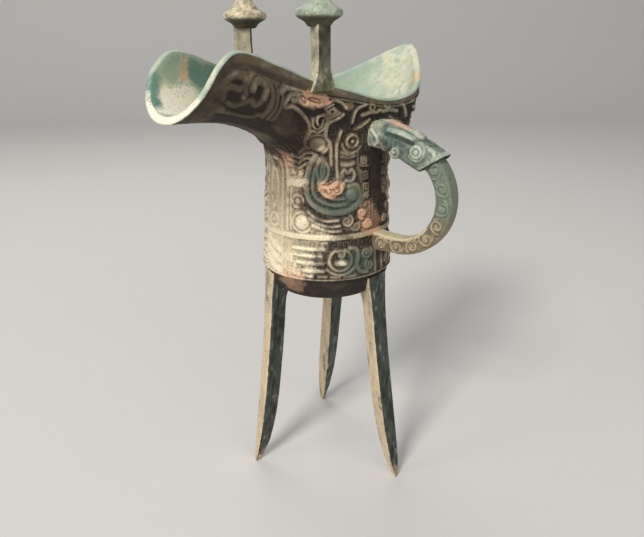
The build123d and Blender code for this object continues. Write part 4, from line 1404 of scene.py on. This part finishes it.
# %% [markdown]
# ## The handle's bow
# The bow leaves the cup level, then swings up in one arc into the beast's mouth. A rounded square is carried
# along that path. Its formula is that of a circle, with the sine and the cosine pressed out by a power.

# %% Path and section of the bow
bow_low, bow_high = np.array(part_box("handle_bow")) / MM
bow_half_width = (bow_high[0] - bow_low[0]) / 2
bow_half_thickness = 3.6
bow_level = bow_low[2] + bow_half_thickness
bow_turn = 20.9
bow_centre_y = bow_low[1] + bow_half_thickness + bow_turn
bow_start_y = -26.6
tongue_angle = 122.0
bow_rows = 330
bow_columns = 120
bow_power = 0.42


def pressed(wave, power):
    """A wave pressed out towards a square one: its size to a power below 1, with its sign kept."""
    return np.sign(wave) * np.abs(wave) ** power


def ring_normals(points, sideways):
    """Unit normals of a grid whose rows are rings: the cross product of its steps, turned so that they look
    to the side on which each point lies."""
    around = np.roll(points, -1, axis=1) - np.roll(points, 1, axis=1)
    normal = np.cross(np.gradient(points, axis=0), around)
    normal /= np.linalg.norm(normal, axis=2, keepdims=True)
    return normal * np.sign(np.sum(normal[..., 0] * sideways))


run_length = bow_start_y - bow_centre_y
arc_length = bow_turn * math.radians(270 - tongue_angle)
bow_along = np.linspace(0, run_length + arc_length, bow_rows)
bow_angle = math.radians(270) - np.maximum(bow_along - run_length, 0) / bow_turn
bow_y = np.where(bow_along < run_length, bow_start_y - bow_along, bow_centre_y + bow_turn * np.cos(bow_angle))
bow_z = bow_level + bow_turn + bow_turn * np.sin(bow_angle)
round_bow = np.linspace(0, 2 * np.pi, bow_columns, endpoint=False)
bow_x = bow_half_width * pressed(np.cos(round_bow), bow_power)
bow_r = bow_half_thickness * pressed(np.sin(round_bow), bow_power)
bow_knot = 1 + 0.12 * np.exp(-((bow_along - 3.0) / 3.0) ** 2)
bow_reach = bow_knot[:, None] * bow_r
bow_skin = np.stack([np.broadcast_to(bow_x, bow_reach.shape),
                     bow_y[:, None] + np.cos(bow_angle)[:, None] * bow_reach,
                     bow_z[:, None] + np.sin(bow_angle)[:, None] * bow_reach], axis=-1)
print("bow's length in mm:", round(run_length + arc_length, 1))

# %% [markdown]
# ## Spirals on the bow
# A row of spirals, wound left and right in turn and joined by small hooks, stands in relief on both side
# faces. They are drawn on the bow laid flat: how far along it, and how far across.

# %% Relief and finish of the bow
spiral_start = 6.0
spiral_pitch = 7.6
spiral_count = 8
bow_v, bow_u = np.meshgrid(bow_r, bow_along)
bow_relief = np.full(bow_u.shape, ground)
for number in range(spiral_count):
    middle = spiral_start + spiral_pitch * number
    handed = 1 if number % 2 else -1
    coil = spiral((middle, 0.2), 2.7, 1.75, 90 + 180 * (number % 2), handed)
    hook = curve([(middle + 1.9, 2.2 * handed), (middle + 3.8, 0.6 * handed), (middle + 5.2, 2.2 * handed)])
    stroke(bow_relief, bow_u, bow_v, coil, 0.5, 0.35)
    boss(bow_relief, bow_u, bow_v, (middle, 0.2), 0.7, 0.3)
    stroke(bow_relief, bow_u, bow_v, hook, 0.5, 0.3)
on_side = step(np.abs(bow_x), 0.8 * bow_half_width, 0.98 * bow_half_width)
bow_relief = bow_relief * on_side - 0.15 * on_side * (1 - on_side) + weathering(bow_skin, 0.1)
bow_lift = np.minimum(bow_relief, 0.4 * on_side) * step(bow_along, 0, 1.5)[:, None]
bow_points = bow_skin + ring_normals(bow_skin, bow_x) * bow_lift[..., None]
bow_mesh = closed_mesh("handle_bow_cast", bow_points)
upper = step(bow_z, 126, 142)[:, None] * np.ones(bow_columns)
inner_low = step(-bow_r, 1.5, 3.2) * step(134 - bow_z, 0, 8)[:, None]
place("handle_bow_cast", bow_mesh, "handle_bow", "handle_bronze", bow_bronze,
      relief=np.clip(0.3 + 0.9 * (bow_relief - ground), 0, 1), chalk=inner_low, earth=0.45 * (1 - upper),
      verdigris=0.85 * upper)

# %% [markdown]
# ## The beast's head
# The head grips the bow in its mouth. Its back and its jaw are two curves in the plane of the handle, and a
# rounded section, of the same formula as the bow's, fills the space between them.

# %% Shape of the head
back_line = [(0.0, -26.4, 171.0), (0.2, -31.0, 171.0), (0.45, -40.0, 168.6), (0.68, -48.0, 165.2),
             (0.86, -54.4, 162.0), (1.0, -58.8, 159.8)]
jaw_line = [(0.0, -25.0, 160.4), (0.2, -30.6, 159.8), (0.45, -37.0, 158.2), (0.68, -42.4, 156.0),
            (0.86, -46.0, 154.1), (1.0, -48.2, 153.4)]
head_width_marks = [(0.0, 5.4), (0.2, 5.9), (0.45, 6.5), (0.7, 6.2), (0.86, 5.4), (1.0, 4.8)]
head_rows = 170
head_columns = 200
head_share = np.linspace(0, 1, head_rows)


def head_edge(edge_marks):
    """A curve in the plane of the handle through (share, y, z) marks, with a point for each row."""
    edge_marks = np.array(edge_marks)
    return np.stack([flow(head_share, edge_marks[:, [0, i]]) for i in (1, 2)], axis=-1)


back, jaw = head_edge(back_line), head_edge(jaw_line)
round_head = np.linspace(0, 2 * np.pi, head_columns, endpoint=False)
side_share = pressed(np.cos(round_head), 0.55)
up_share = pressed(np.sin(round_head), 0.6)
head_half = flow(head_share, head_width_marks)
head_yz = ((back + jaw) / 2)[:, None] + ((back - jaw) / 2)[:, None] * up_share[:, None]
head_skin = np.concatenate([(head_half[:, None] * side_share)[..., None], head_yz], axis=-1)
print("head from", back[0].round(1), "to", back[-1].round(1))

# %% [markdown]
# ## Eyes, brow, ear and crest
# The features are strokes again, drawn on the head's flanks seen from the side. A crest and a knob stand on
# the back, and towards the mouth all of it sinks into the roll of the lip.

# %% Relief of the head
eye = (-48.6, 160.9)
knob_place = np.array([0, -46.4, 166.0])
knob_radius = 2.5
brow_groove = curve([(-34.8, 166.6), (-40.6, 165.8), (-46.8, 164.1)])
head_lines = [
    (ring(eye, 2.0), 0.7, 0.5),
    (ring(eye, 3.3, 100, 330), 0.5, 0.1),
    (spiral((-39.4, 160.3), 2.4, 1.4, 200), 0.8, 0.6),
    (curve([(-35.6, 168.3), (-41.0, 167.3), (-46.4, 165.5)]), 1.0, 0.3),
    (curve([(-51.6, 163.6), (-55.0, 161.0), (-56.6, 158.2)]), 0.8, 0.2),
    (curve([(-28.0, 167.5), (-31.0, 164.0), (-29.0, 161.6)]), 1.0, 0.3),
]
head_x, head_y, head_z = np.moveaxis(head_skin, -1, 0)
flank_y = np.where(np.abs(side_share) > 0.55, head_y, far_off)
raised = np.full(head_y.shape, ground)
for path, width, lift in head_lines:
    stroke(raised, flank_y, head_z, path, width, lift)
boss(raised, flank_y, head_z, eye, 1.2, 0.7)
groove = np.full(head_y.shape, ground)
stroke(groove, flank_y, head_z, brow_groove, 0.9, 0.3)
features = raised - ground - 0.9 * (groove - ground)
crest = step(2.1 - np.abs(head_x), 0, 1.2) * (up_share > 0.5)
crest = crest * step(head_y, -47.0, -44.0) * step(-head_y, 30.0, 33.0)
knob_gap = np.linalg.norm(head_skin - knob_place, axis=-1) / knob_radius
knob = np.sqrt(np.clip(1 - knob_gap ** 2, 0, 1))
roll = step(head_share, 0.9, 0.97)[:, None]
head_relief = (features + 0.9 * crest) * (1 - roll) + 0.35 * roll + 1.2 * knob + weathering(head_skin, 0.3)
head_solid = head_skin + ring_normals(head_skin, side_share) * head_relief[..., None]
print("relief of the head in mm:", head_relief.min().round(2), "to", head_relief.max().round(2))

# %% [markdown]
# ## Lip and finish of the head
# The lip rolls over the bow and turns in, so a few more rows fold from the edge towards the mouth's middle.
# Earth lies along the back and under the ear, and verdigris on the cheeks.

# %% Lip and patina of the head
lip_roll_rows = 14
mouth_way = np.array([0.0, -0.45, -0.89])


def both_sides(spots):
    """Spots on one side of the head and their mirror images on the other."""
    return spots + [(-x, *rest) for x, *rest in spots]


lip_edge = head_solid[-1]
fold = np.linspace(0, 1, lip_roll_rows + 1)[1:, None, None]
lip_fold = lip_edge + 0.3 * fold * (lip_edge.mean(0) - lip_edge)
lip_fold = lip_fold + mouth_way * (0.7 * np.sin(np.pi * fold) - 1.6 * fold ** 2)
head_points = np.concatenate([head_solid, lip_fold])
head_mesh = closed_mesh("handle_head_cast", head_points)
head_chalk = 0.6 * step(-head_y, 22, 25) * (1 - step(-head_y, 32, 36)) + 0.3 * roll + 0.7 * knob
head_earth = [(0, -34, 171.4, 3.6, 0.7), (0, -38, 170, 3.6, 0.75), (0, -42, 168.4, 3.2, 0.5)]
head_earth += both_sides([(6, -32, 162, 3.5, 0.6), (6, -39.4, 160, 3, 0.4)])
head_green = both_sides([(5, -36, 166, 4, 0.7), (5, -42, 164, 4, 0.4)]) + [(0, -54, 162, 6, 0.3)]
place("handle_head_cast", head_mesh, "handle_head", "handle_bronze", head_bronze,
      relief=np.clip(0.35 + head_relief, 0, 1), chalk=head_chalk, earth=patches(head_skin, head_earth),
      verdigris=patches(head_skin, head_green))
